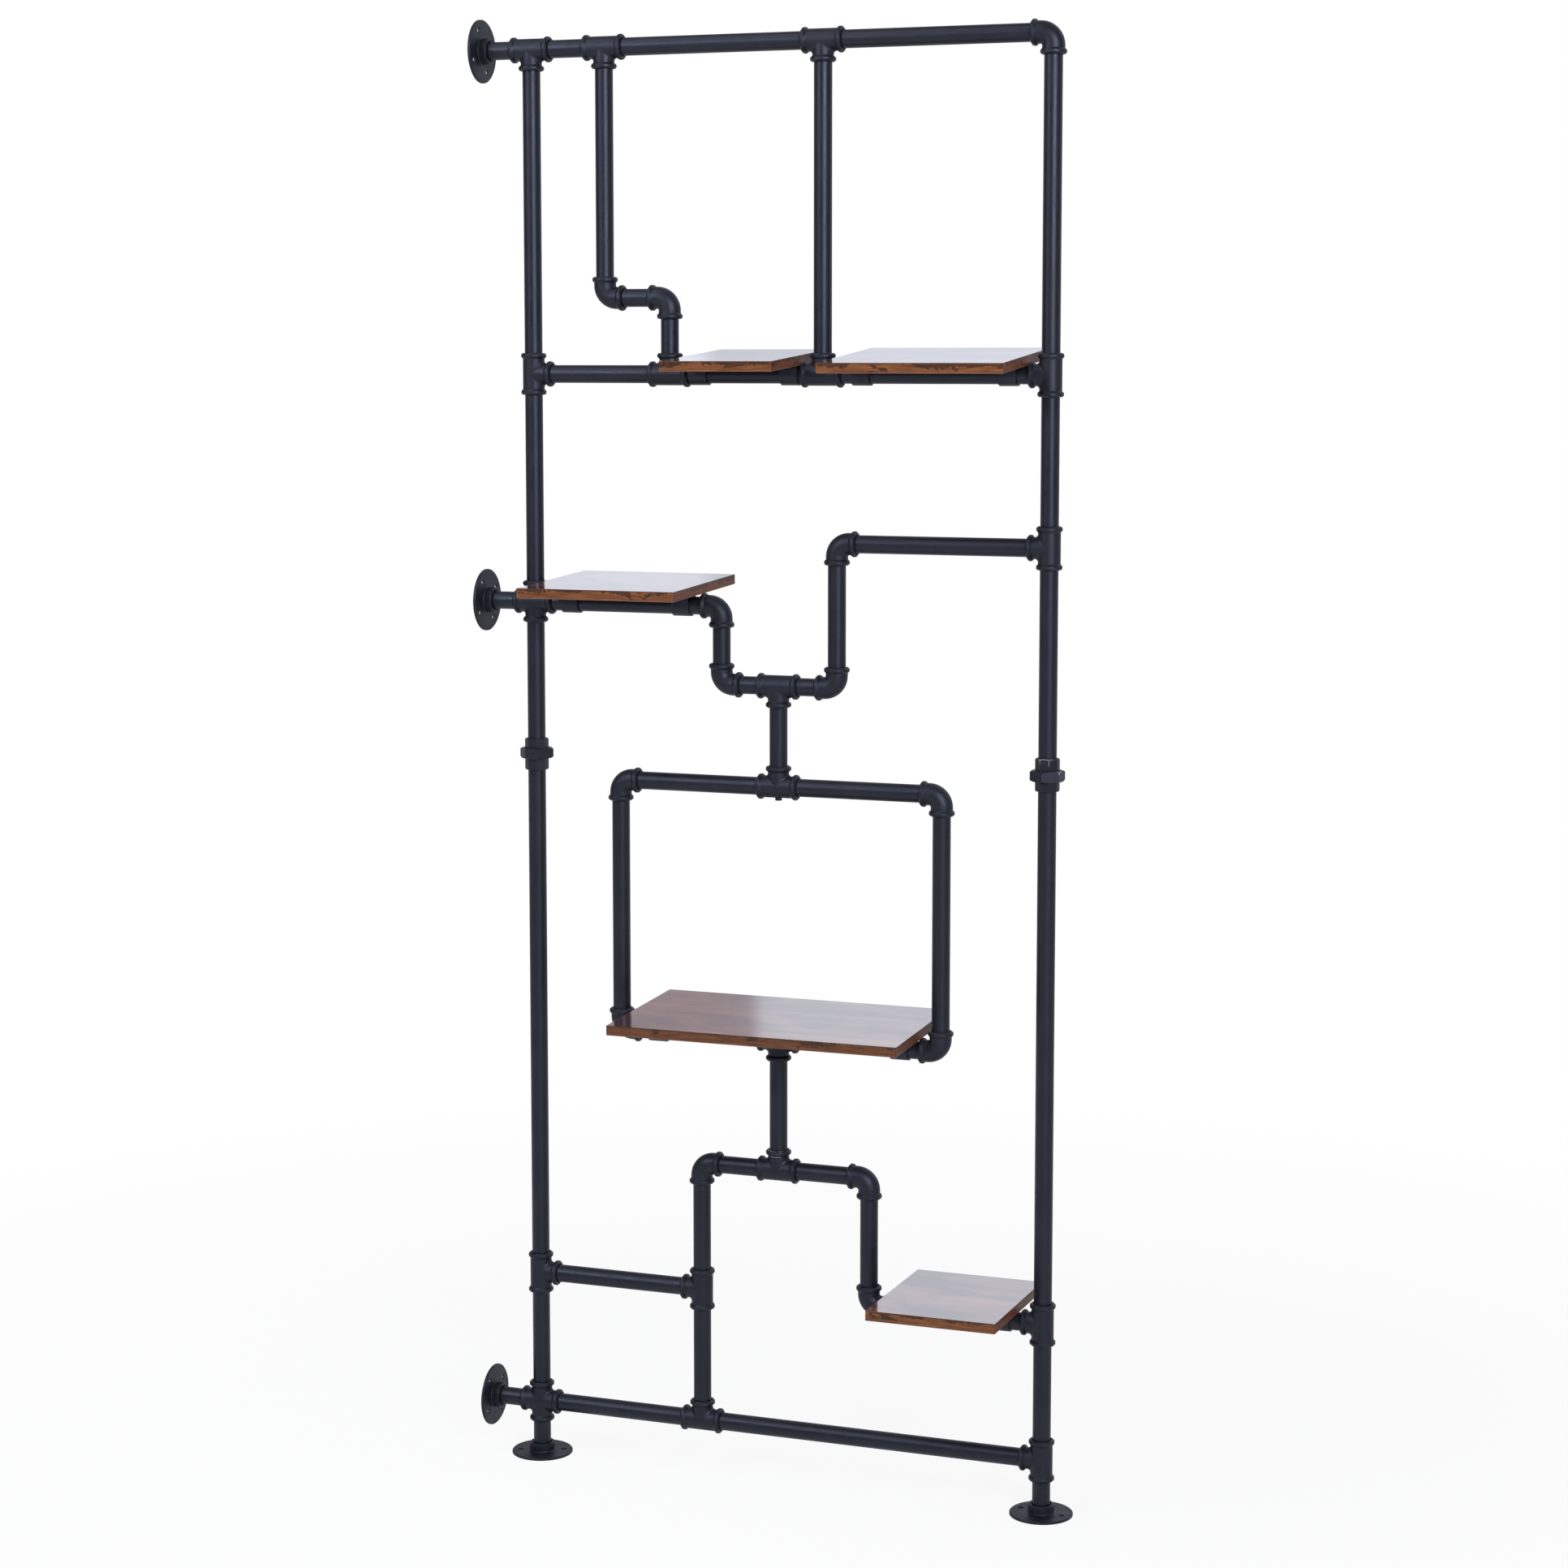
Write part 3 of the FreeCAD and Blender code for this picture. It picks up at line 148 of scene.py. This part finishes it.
# Noises of the laminate, and how far each is stretched: along the board, back and up, or along
# its edge and down.
STREAKS = dict(detail=5.0, rough=0.60, twist=0.9)
STREAK_STRETCH = (4.0, 46.0, 4.0)
CLOUDS = dict(detail=4.0, rough=0.55, twist=0.9)
CLOUD_STRETCH = (7.0, 15.0, 1.0)
PORES = dict(detail=3.0, rough=0.6)
PORE_STRETCH = (50.0, 1200.0, 50.0)
LINES = dict(detail=5.0, rough=0.65, twist=0.7)
LINE_STRETCH = 26.0, 700.0
KNOTS = dict(detail=5.0, rough=0.68, twist=0.6)
KNOT_STRETCH = 22.0, 36.0

# Heights on the edge strip, down from the top of the board.
KNOT_REACH = -1.0 * MM, 12.0 * MM
KNOT_SOFT = 1.6 * MM
KNOT_OUTLINE = 0.5 * MM, 1.8 * MM
KNOT_SEEN = 0.5 * MM, 2.0 * MM
FRINGE = 1.6 * MM, 3.2 * MM
FRINGE_RAGGED = 3.0 * MM
FOOT = 10.6 * MM, 11.4 * MM
ARRIS_RADIUS = 0.6 * MM

FACING = 0.80, 0.95             # how squarely a surface faces a way, to count as facing it
LAMINATE_IOR = 1.9
LAMINATE_BUMP = 0.10 * MM
LAMINATE_RELIEF = 0.03
UPPER_ROUGHNESS = 0.10, 0.17
UNDERSIDE_ROUGHNESS = 0.42
EDGE_ROUGHNESS = 0.55
UPPER_SPECULAR = 0.50
OTHER_SPECULAR = 0.15
COAT_IOR = 2.1
COAT_ROUGHNESS = 0.045
COAT_SHARE = 0.05, 1.0          # off the upper face, and on it
COAT_ON_CLOUDS = 1.0, 0.90

PAPER_DARK = (0.80, 0.80, 0.80)
PAPER_LIGHT = (0.84, 0.84, 0.84)
WHITE = (1, 1, 1)
MIRRORED_ROOM = (0.86, 0.90, 1.0)
MIRRORED_DIM = (0.96, 0.85, 0.93)
DAYLIGHT = (0.90, 0.95, 1.0)

# Paints. Relief is the strength of the bumps, grain the part of the coarse ones in them, pits
# how fine the coarse ones are, wear how strongly edges are rubbed, and seam the height of the
# casting's seam.
PAINTS = {
    "pipe": dict(name="pipe_paint", dark=PIPE_DARK, light=PIPE_LIGHT,
                 roughness=0.42, relief=0.13, grain=0.3, pits=240.0, wear=0.5),
    "fitting": dict(name="fitting_iron", dark=IRON_DARK, light=IRON_LIGHT,
                    roughness=0.48, relief=0.20, grain=1.0, pits=330.0, wear=0.9, seam=0.8),
    "flange": dict(name="flange_iron", dark=FLANGE_DARK, light=FLANGE_LIGHT,
                   roughness=0.50, relief=0.14, grain=0.8, pits=330.0, wear=0.8),
    "strap": dict(name="strap_paint", dark=PIPE_DARK, light=PIPE_LIGHT,
                  roughness=0.42, relief=0.12, grain=0.3, pits=240.0, wear=0.5),
    "screw": dict(name="screw_paint", dark=PIPE_DARK, light=PIPE_LIGHT,
                  roughness=0.36, relief=0.12, grain=0.2, pits=240.0, wear=0.8),
}

# ---------------------------------------------------------------- the studio

FLOOR_RADIUS = 14.0
FLOOR_SIDES = 96
FLOOR_GAP = 0.2 * MM
FLOOR_FADE = 0.5, 2.4           # from the origin, where it turns to plain white
FLOOR_WHITE = 0.91, 1.0         # how white it is within and beyond that
FLOOR_MIRRORED = 0.5            # how white it is to reflections
FLOOR_GRAIN = dict(scale=300.0, detail=3.0)

# Lamps: power in watts, and shine, the share of it that the glint on the metal has.
LAMPS = {
    "window": dict(place=(2.75, -3.17, 2.55), aim=(0, 0, 1.3), width=1.7, height=2.0,
                   power=122, shine=1.4),
    "ceiling": dict(place=(-0.9, -1.0, 3.6), aim=(0, 0, 0.6), width=1.8, height=1.6,
                    power=34, shine=0.5),
    "left_fill": dict(place=(-1.9, -2.6, 2.7), aim=(0, 0, 0.9), width=1.2, height=1.2,
                      power=58, shine=0.9),
}
LIGHT_BEHIND_GLINT = 0.15

# The room that reflections show, in degrees: azimuth from +Y towards -X, and elevation.
DIM_AZIMUTH = 20.85, 21.20
DIM_AZIMUTH_END = 60, 80
DIM_ELEVATION = 9.6, 11.2
DIM_LOSS = 0.56
HAZE_AZIMUTH_END = 21.5, 22.0
HAZE_ELEVATION_END = 8.0, 10.6
HAZE_LOSS = 0.25
ROOM_FACING = 0.1, 0.5          # how far a ray runs towards +Y
ROOM_STRENGTH = 0.10, 1.0       # in front of the shelf, and behind it
SKY_STRENGTH = 0.20             # as light on the object

# The photograph's frame in pixels, and the camera fitted to it.
PICTURE = 1932
FOCAL = 4018
CENTRE_ROW = 870
SENSOR = 36.0
CAMERA_PLACE = (1.337, -3.600, 1.360)
CAMERA_YAW = math.radians(20.19)
CAMERA_PITCH = math.radians(-6.15)
CAMERA_REACH = 60


# ---------------------------------------------------------------- material helpers

class Shader:
    """A node material, built one node at a time."""

    def __init__(self, name, tree=None):
        if tree is None:
            self.material = bpy.data.materials.new(name)
            self.material.use_nodes = True
            tree = self.material.node_tree
        self.tree = tree
        self.tree.nodes.clear()

    def add(self, kind, settings=None, **inputs):
        """A node with its settings, and its inputs set or linked by name or number."""
        node = self.tree.nodes.new(kind)
        for key, value in (settings or {}).items():
            setattr(node, key, value)
        for key, value in inputs.items():
            self.put(node, key, value)
        return node

    def put(self, node, key, value):
        """Set or link one input: _2 is the third one, and any other key is its name."""
        socket = node.inputs[int(key[1:])] if key[1:].isdigit() else node.inputs[key]
        if isinstance(value, bpy.types.NodeSocket):
            self.tree.links.new(value, socket)
            return
        if hasattr(socket.default_value, "__len__") and len(socket.default_value) == 4:
            value = tuple(value) + (1.0,)
        socket.default_value = value

    def math(self, operation, first, second=0.0, clamp=False):
        node = self.add("ShaderNodeMath", {"operation": operation, "use_clamp": clamp},
                        _0=first, _1=second)
        return node.outputs[0]

    def vector(self, operation, first, second=(0, 0, 0)):
        node = self.add("ShaderNodeVectorMath", {"operation": operation}, _0=first, _1=second)
        return node.outputs["Value" if operation in ("DOT_PRODUCT", "DISTANCE") else "Vector"]

    def point(self):
        """The point in the row frame, in metres."""
        return self.add("ShaderNodeTexCoord").outputs["Object"]

    def place(self, point, offset=(0, 0, 0), scale=(1, 1, 1)):
        """A point, moved and then stretched."""
        return self.vector("MULTIPLY", self.vector("ADD", point, offset), scale)

    def split(self, vector):
        return self.add("ShaderNodeSeparateXYZ", _0=vector).outputs

    def join(self, first, second, third=0.0):
        return self.add("ShaderNodeCombineXYZ", _0=first, _1=second, _2=third).outputs[0]

    def noise(self, vector, scale=1.0, detail=2.0, rough=0.5, twist=0.0):
        node = self.add("ShaderNodeTexNoise", Vector=vector, Scale=scale, Detail=detail,
                        Roughness=rough, Distortion=twist)
        return node.outputs["Fac"]

    def spread(self, value, low, high, to_low=0.0, to_high=1.0, smooth=True):
        """A value brought from one range to another, held at both ends."""
        settings = {"interpolation_type": "SMOOTHSTEP" if smooth else "LINEAR", "clamp": True}
        node = self.add("ShaderNodeMapRange", settings, _0=value, _1=low, _2=high,
                        _3=to_low, _4=to_high)
        return node.outputs["Result"]

    def mix(self, factor, first, second):
        """One of two colours, or a blend of them."""
        node = self.add("ShaderNodeMix", {"data_type": "RGBA"}, _0=factor)
        self.put(node, "_6", first)
        self.put(node, "_7", second)
        return node.outputs[2]

    def choose(self, factor, first, second):
        """One of two numbers, or a mean of them."""
        return self.add("ShaderNodeMix", {"data_type": "FLOAT"},
                        _0=factor, _2=first, _3=second).outputs[0]

    def ramp(self, factor, stops):
        node = self.add("ShaderNodeValToRGB", Fac=factor)
        elements = node.color_ramp.elements
        while len(elements) < len(stops):
            elements.new(0.5)
        for element, (position, colour) in zip(elements, stops):
            element.position = position
            element.color = tuple(colour) + (1.0,)
        return node.outputs["Color"]

    def edges(self, radius):
        """How sharply the surface turns here, from 0 on a flat to 1 on an arris."""
        rounded = self.add("ShaderNodeBevel", {"samples": BEVEL_SAMPLES}, Radius=radius)
        plain = self.add("ShaderNodeNewGeometry")
        facing = self.vector("DOT_PRODUCT", rounded.outputs["Normal"], plain.outputs["Normal"])
        return self.math("SUBTRACT", 1.0, facing, clamp=True)

    def near(self, point, spots):
        """A mask that is 1 within the given spots: centre and radius of each."""
        total = 0.0
        for centre, radius in spots:
            away = self.vector("DISTANCE", point, centre)
            mask = self.spread(away, radius * BARED_RIM, radius, 1.0, 0.0)
            total = self.math("MAXIMUM", mask, total)
        return total

    def bump(self, height, strength, distance):
        return self.add("ShaderNodeBump", Height=height, Strength=strength,
                        Distance=distance).outputs["Normal"]

    def either(self, factor, first, second):
        """One of two closures, or a blend of them."""
        return self.add("ShaderNodeMixShader", _0=factor, _1=first, _2=second).outputs[0]

    def finish(self, **inputs):
        """The material, with a Principled shader whose inputs have _ for a space."""
        principled = self.add("ShaderNodeBsdfPrincipled")
        for key, value in inputs.items():
            self.put(principled, key.replace("_", " "), value)
        self.end("ShaderNodeOutputMaterial", principled.outputs[0])
        return self.material

    def end(self, kind, closure):
        self.tree.links.new(closure, self.add(kind).inputs[0])


def dress(thing, material):
    """Give every material slot of a piece the one material."""
    slots = thing.data.materials
    if not slots:
        slots.append(material)
    for index in range(len(slots)):
        slots[index] = material


def add_object(name, data):
    thing = bpy.data.objects.new(name, data)
    bpy.context.collection.objects.link(thing)
    return thing


def add_mesh(name, grid):
    """An object made of a bmesh, which is freed."""
    mesh = bpy.data.meshes.new(name)
    grid.to_mesh(mesh)
    grid.free()
    return add_object(name, mesh)


# ---------------------------------------------------------------- metal finishes

def bared_spots():
    """Mouths of fittings where the paint has been knocked off: centre and radius."""
    thread_low, thread_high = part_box("union_thread_end_right")
    nut_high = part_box("union_nut_right")[1]
    pole = (thread_low[0] + thread_high[0]) / 2
    return (
        ((pole + 1 * MM, -11 * MM, thread_high[2]), 10 * MM),
        ((nut_high[0] - 1 * MM, -8 * MM, nut_high[2] - 1 * MM), 5 * MM),
        (BARED_TEE, 12 * MM),
        ((pole - 2 * MM, -14 * MM, BARED_POLE_HEIGHT), 4 * MM),
    )


def painted(name, dark, light, roughness, relief, grain, pits, wear, seam=0.0):
    """Black paint over metal: mottling, specks, grain, and rubbed or bared edges."""
    shader = Shader(name)
    point = shader.point()
    mottle = shader.noise(point, **MOTTLE)
    fine = shader.noise(point, **FINE_GRAIN)
    patch = shader.noise(point, **PATCHES)
    even = shader.noise(point, **EVENNESS)
    coarse = shader.noise(point, pits, **COARSE_GRAIN)
    chips = shader.noise(point, **CHIPS)

    tone = shader.mix(shader.spread(mottle, 0.30, 0.72), dark, light)
    tone = shader.mix(shader.spread(fine, 0.62, 0.80, 0.0, 0.35), tone, light)
    edge = shader.edges(WORN_EDGE)
    rub = shader.math("MULTIPLY", shader.spread(edge, 0.015, 0.20),
                      shader.spread(patch, 0.50, 0.66, 0.0, wear))
    tone = shader.mix(rub, tone, RUBBED)
    chipped = shader.math("MULTIPLY", shader.spread(chips, 0.36, 0.46),
                          shader.near(point, bared_spots()))
    bared = shader.math("MULTIPLY", shader.spread(edge, 0.01, 0.06), chipped)
    tone = shader.mix(bared, tone, BARE_METAL)

    height = shader.math("ADD", shader.math("MULTIPLY", coarse, grain),
                         shader.math("MULTIPLY", fine, FINE_SHARE))
    if seam:
        side = shader.math("ABSOLUTE", shader.split(point)[1])
        ragged = shader.math("MULTIPLY", patch, SEAM_RAGGED)
        line = shader.spread(shader.math("SUBTRACT", side, ragged), *SEAM_EDGE, seam, 0.0)
        height = shader.math("ADD", height, line)
    return shader.finish(
        Base_Color=tone,
        Roughness=shader.spread(even, 0.3, 0.7, roughness - 0.04, roughness + 0.06, False),
        Metallic=shader.math("MULTIPLY", bared, BARED_METALLIC),
        Specular_IOR_Level=PAINT_SPECULAR, Specular_Tint=PAINT_GLINT,
        Normal=shader.bump(height, relief, PAINT_BUMP))


# ---------------------------------------------------------------- boards

def board_face(shader, streak, cloud, pores):
    """Long streaks along the board, with darker clouds and fine pores across them."""
    tone = shader.ramp(streak, FACE_STREAKS)
    tone = shader.mix(shader.spread(cloud, 0.42, 0.60, 0.0, 0.80), tone, FACE_CLOUD)
    return shader.mix(shader.spread(pores, 0.58, 0.76, 0.0, 0.30), tone, FACE_PORE)


def board_edge(shader, run, drop, end, shade):
    """Orange brown with fine lines, and dark pointed knots that hang from the top.

    run goes along the edge, drop down from the top, and end is 1 on the two ends."""
    def along_edge(stretch):
        return shader.join(shader.math("MULTIPLY", run, stretch[0]),
                           shader.math("MULTIPLY", drop, stretch[1]))

    lines = shader.noise(along_edge(LINE_STRETCH), **LINES)
    # Painted shade: the whole strip is darkened towards the knots' dark brown by the board's
    # share.
    tone = shader.mix(shade, shader.ramp(lines, EDGE_LINES), EDGE_KNOT_AND_SHADE)
    knots = shader.noise(along_edge(KNOT_STRETCH), **KNOTS)
    hang = shader.spread(knots, 0.46, 0.70, *KNOT_REACH, False)
    inside = shader.math("SUBTRACT", hang, drop)
    fill = shader.spread(inside, 0.0, KNOT_SOFT, 0.0, 0.72)
    outline = shader.spread(shader.math("ABSOLUTE", inside), *KNOT_OUTLINE, 0.90, 0.0)
    outline = shader.math("MULTIPLY", outline, shader.spread(hang, *KNOT_SEEN))
    ragged = shader.math("ADD", drop, shader.math("MULTIPLY", lines, FRINGE_RAGGED))
    fringe = shader.spread(ragged, *FRINGE, 0.75, 0.0)
    dark = shader.math("MAXIMUM", shader.math("MAXIMUM", fill, outline), fringe)
    tone = shader.mix(dark, tone, EDGE_KNOT_AND_SHADE)
    tone = shader.mix(shader.math("MULTIPLY", end, 0.35), tone, EDGE_END)
    return shader.mix(shader.spread(drop, *FOOT, 0.0, 0.45), tone, EDGE_FOOT)


def board_finish(name):
    """Rustic laminate: streaked faces, of which the upper one is glossy, and an edge strip."""
    board = BOARDS[name]
    seed = (list(BOARDS).index(name) + 1) * SEED_STEP
    shader = Shader(name + "_laminate")

    # The board's own frame: its pipe's axis along X, and its top at one height.
    level = shader.add("ShaderNodeVectorRotate", {"rotation_type": "X_AXIS"},
                       Vector=shader.point(), Center=(0, 0, board.pipe_height),
                       Angle=-math.radians(board.lean)).outputs[0]
    across, back, up = shader.split(level)[:3]
    drop = shader.math("SUBTRACT", board.pipe_height + board.top, up)
    facing = shader.split(shader.add("ShaderNodeNewGeometry").outputs["True Normal"])
    flat = shader.spread(shader.math("ABSOLUTE", facing[2]), *FACING)
    upper = shader.spread(facing[2], *FACING)
    end = shader.spread(shader.math("ABSOLUTE", facing[0]), *FACING)

    streak = shader.noise(shader.place(level, (seed, seed, 0), STREAK_STRETCH), **STREAKS)
    cloud = shader.noise(shader.place(level, (seed, 0, 0), CLOUD_STRETCH), **CLOUDS)
    pores = shader.noise(shader.place(level, (0, seed, 0), PORE_STRETCH), **PORES)
    run = shader.math("ADD", shader.choose(end, across, back), seed)
    tone = shader.mix(flat, board_edge(shader, run, drop, end, board.edge_shade),
                      board_face(shader, streak, cloud, pores))
    arris = shader.spread(shader.edges(ARRIS_RADIUS), 0.01, 0.12, 0.0, 0.60)
    tone = shader.mix(arris, tone, ARRIS)

    polish = shader.spread(pores, 0.3, 0.7, *UPPER_ROUGHNESS, False)
    matte = shader.choose(flat, EDGE_ROUGHNESS, UNDERSIDE_ROUGHNESS)
    coat = shader.math("MULTIPLY", shader.spread(upper, 0.0, 1.0, *COAT_SHARE),
                       shader.spread(cloud, 0.38, 0.62, *COAT_ON_CLOUDS))
    height = shader.math("ADD", shader.math("MULTIPLY", streak, 0.6), pores)
    return shader.finish(
        Base_Color=tone, Roughness=shader.choose(upper, matte, polish), IOR=LAMINATE_IOR,
        Specular_IOR_Level=shader.choose(upper, OTHER_SPECULAR, UPPER_SPECULAR),
        Coat_Weight=coat, Coat_IOR=COAT_IOR, Coat_Roughness=COAT_ROUGHNESS,
        Normal=shader.bump(height, LAMINATE_RELIEF, LAMINATE_BUMP))


# ---------------------------------------------------------------- screws of the straps

def islands(mesh):
    """The separate solids of a mesh, each as a list of its points."""
    links = {index: [] for index in range(len(mesh.vertices))}
    for line in mesh.edges:
        first, second = line.vertices
        links[first].append(second)
        links[second].append(first)
    seen = set()
    found = []
    for start in links:
        if start in seen:
            continue
        seen.add(start)
        group = [start]
        for index in group:
            fresh = [other for other in links[index] if other not in seen]
            seen.update(fresh)
            group.extend(fresh)
        found.append([mesh.vertices[index].co.copy() for index in group])
    return found


def cross_depth(across, angle, radius, depth):
    """How deep the cross recess is at a point of a screw head."""
    recess = CROSS_LENGTH * radius
    narrow, wide = sorted((abs(across * math.cos(angle)), abs(across * math.sin(angle))))
    wall = CROSS_WIDTH * radius + CROSS_FLARE * radius * max(0.0, 1.0 - wide / recess)
    if narrow > wall or wide > recess:
        return 0.0
    return CROSS_DEPTH * depth * min(1.0, (recess - wide) / (CROSS_RAMP * recess))


def screw_head(grid, foot, axis, radius, depth):
    """A pan head with a cross recess: foot is where it meets the strap, axis points out."""
    turn = axis.to_track_quat("Z", "X").to_matrix()
    angles = [math.tau * spoke / HEAD_SPOKES for spoke in range(HEAD_SPOKES)]

    def vertex(across, angle, height):
        flat = Vector((across * math.cos(angle), across * math.sin(angle), height))
        return grid.verts.new(foot + turn @ flat)

    loops = []
    for ring in range(HEAD_RINGS + 1):
        share = ring / HEAD_RINGS
        past_flat = max(0.0, (share - HEAD_FLAT) / (1.0 - HEAD_FLAT))
        crown = depth * (1.0 - HEAD_FALL * past_flat ** HEAD_ROUND)
        across = radius * share
        loops.append([vertex(max(across, HEAD_CENTRE * radius), angle,
                             crown - cross_depth(across, angle, radius, depth))
                      for angle in angles])
    loops.append([vertex(radius, angle, 0.0) for angle in angles])
    for inner, outer in zip(loops, loops[1:]):
        for spoke in range(HEAD_SPOKES):
            after = (spoke + 1) % HEAD_SPOKES
            grid.faces.new((inner[spoke], outer[spoke], outer[after], inner[after]))
    grid.faces.new(loops[0])
    grid.faces.new(list(reversed(loops[-1])))


def make_screws(material):
    """Cross-head screws in place of the plain ones that hold the straps."""
    grid = bmesh.new()
    for points in islands(NODES[SCREWS].data):
        centre = sum(points, Vector()) / len(points)
        board = min(BOARDS.values(), key=lambda row: abs(row.pipe_height - centre.z))
        across = Vector((1, 0, 0))
        axis = Matrix.Rotation(math.radians(board.lean), 3, across) @ Vector((0, 0, -1))
        side = across.cross(axis)
        heights = [point.dot(axis) for point in points]
        widths = [point.x for point in points]
        backs = [point.dot(side) for point in points]
        depth = min(HEAD_HEIGHT, (max(heights) - min(heights)) / 2)
        foot = (across * (min(widths) + max(widths)) / 2
                + side * (min(backs) + max(backs)) / 2
                + axis * (max(heights) - depth))
        screw_head(grid, foot, axis, (max(widths) - min(widths)) / 2, depth)
    bmesh.ops.recalc_face_normals(grid, faces=grid.faces)
    heads = add_mesh("strap_screw_heads", grid)
    heads.data.shade_smooth()
    heads.data.set_sharp_from_angle(angle=SHARP_ANGLE)
    dress(heads, material)
    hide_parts(SCREWS)
    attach(heads, "root")
    return heads


# ---------------------------------------------------------------- stage, light and camera

def white_for_camera(shader, closure, share):
    """Show a surface partly as plain white to the camera, and less so to reflections."""
    path = shader.add("ShaderNodeLightPath")
    mirrored = shader.math("MULTIPLY", path.outputs["Is Glossy Ray"], FLOOR_MIRRORED)
    seen = shader.math("MAXIMUM", path.outputs["Is Camera Ray"], mirrored)
    white = shader.add("ShaderNodeEmission", Color=WHITE, Strength=1.0).outputs[0]
    return shader.either(shader.math("MULTIPLY", seen, share), closure, white)


def make_floor():
    """A pale floor that turns to plain white away from the shelf, clear from below."""
    grid = bmesh.new()
    bmesh.ops.create_circle(grid, cap_ends=True, radius=FLOOR_RADIUS, segments=FLOOR_SIDES)
    floor = add_mesh("floor", grid)
    floor.location.z = CAD_BOX[0][2] - FLOOR_GAP
    shader = Shader("floor_paper")
    point = shader.point()
    share = shader.spread(shader.vector("DISTANCE", point), *FLOOR_FADE, *FLOOR_WHITE)
    grain = shader.noise(point, **FLOOR_GRAIN)
    tone = shader.mix(shader.spread(grain, 0.3, 0.7), PAPER_DARK, PAPER_LIGHT)
    paper = shader.add("ShaderNodeBsdfDiffuse", Color=tone).outputs[0]
    upper = white_for_camera(shader, paper, share)
    below = shader.add("ShaderNodeNewGeometry").outputs["Backfacing"]
    clear = shader.add("ShaderNodeBsdfTransparent").outputs[0]
    shader.end("ShaderNodeOutputMaterial", shader.either(below, upper, clear))
    dress(floor, shader.material)


def make_world():
    """White to the camera. Reflections show a room that is bright behind the shelf and dim in
    front of it, with a dimmer patch high on the left and a haze low on the right."""
    world = bpy.data.worlds.new("studio")
    bpy.context.scene.world = world
    world.use_nodes = True
    shader = Shader("studio", world.node_tree)
    path = shader.add("ShaderNodeLightPath").outputs
    ray = shader.split(shader.add("ShaderNodeTexCoord").outputs["Generated"])
    turn = shader.math("ARCTAN2", shader.math("MULTIPLY", ray[0], -1.0), ray[1])

    def azimuth(span, *to):
        return shader.spread(turn, *(math.radians(angle) for angle in span), *to)

    def elevation(span, *to):
        return shader.spread(ray[2], *(math.sin(math.radians(angle)) for angle in span), *to)

    leftward = shader.math("MULTIPLY", azimuth(DIM_AZIMUTH), azimuth(DIM_AZIMUTH_END, 1.0, 0.0))
    dim = shader.math("MULTIPLY", leftward, elevation(DIM_ELEVATION))
    haze = shader.math("MULTIPLY", elevation(HAZE_ELEVATION_END, 1.0, 0.0),
                       azimuth(HAZE_AZIMUTH_END, 1.0, 0.0))
    loss = shader.math("ADD", shader.math("MULTIPLY", dim, DIM_LOSS),
                       shader.math("MULTIPLY", haze, HAZE_LOSS))
    room = shader.spread(ray[1], *ROOM_FACING, *ROOM_STRENGTH)
    glossy = shader.math("MULTIPLY", room, shader.math("SUBTRACT", 1.0, loss))
    light = shader.choose(path["Is Glossy Ray"], SKY_STRENGTH, glossy)
    mirrored = shader.mix(dim, MIRRORED_ROOM, MIRRORED_DIM)
    sky = shader.add("ShaderNodeBackground",
                     Color=shader.mix(path["Is Glossy Ray"], WHITE, mirrored),
                     Strength=shader.choose(path["Is Camera Ray"], light, 1.0)).outputs[0]
    shader.end("ShaderNodeOutputWorld", sky)


def make_panel(name, place, aim, width, height, power):
    lamp = bpy.data.lights.new(name, "AREA")
    lamp.shape = "RECTANGLE"
    lamp.size = width
    lamp.size_y = height
    lamp.energy = power
    lamp.color = DAYLIGHT
    thing = add_object(name, lamp)
    thing.location = place
    thing.rotation_mode = "QUATERNION"
    thing.rotation_quaternion = (Vector(aim) - place).to_track_quat("-Z", "Y")
    return thing


def make_lamp(name, metals, place, aim, width, height, power, shine):
    """A soft lamp. Its light falls on everything, and its glint shows on the metal alone."""
    place = Vector(place)
    behind = place + (place - Vector(aim)).normalized() * LIGHT_BEHIND_GLINT
    light = make_panel(name + "_light", behind, aim, width, height, power)
    light.visible_glossy = False
    glint = make_panel(name + "_glint", place, aim, width, height, power * shine)
    glint.visible_diffuse = False
    glint.light_linking.receiver_collection = metals


def make_camera():
    """The photograph's view: from the right, at the height of the upper boards."""
    lens = bpy.data.cameras.new("view")
    lens.sensor_width = SENSOR
    lens.lens = SENSOR * FOCAL / PICTURE
    lens.shift_y = (CENTRE_ROW - PICTURE / 2) / PICTURE
    lens.clip_end = CAMERA_REACH
    camera = add_object("view", lens)
    camera.location = CAMERA_PLACE
    camera.rotation_euler = (math.pi / 2 + CAMERA_PITCH, 0, CAMERA_YAW)
    bpy.context.scene.camera = camera


# ---------------------------------------------------------------- putting it together

def material_for(name, paints):
    if name in BOARDS:
        return board_finish(name)
    if name in STRAPS:
        return paints["strap"]
    if name == SCREWS:
        return paints["screw"]
    if "flange" in name and name != "flange_nipples":
        return paints["flange"]
    if "pipe" in name or "nipple" in name:
        return paints["pipe"]
    return paints["fitting"]


finishes = {kind: painted(**settings) for kind, settings in PAINTS.items()}
for node_name, node in NODES.items():
    dress(node, material_for(node_name, finishes))
screw_heads = make_screws(finishes["screw"])

metal_pieces = bpy.data.collections.new("metals")
metal_pieces.objects.link(screw_heads)
for node_name, node in NODES.items():
    if node_name not in BOARDS:
        metal_pieces.objects.link(node)

make_floor()
make_world()
make_camera()
for lamp_name, lamp_settings in LAMPS.items():
    make_lamp(lamp_name, metal_pieces, **lamp_settings)
bpy.context.scene.view_settings.view_transform = "Standard"
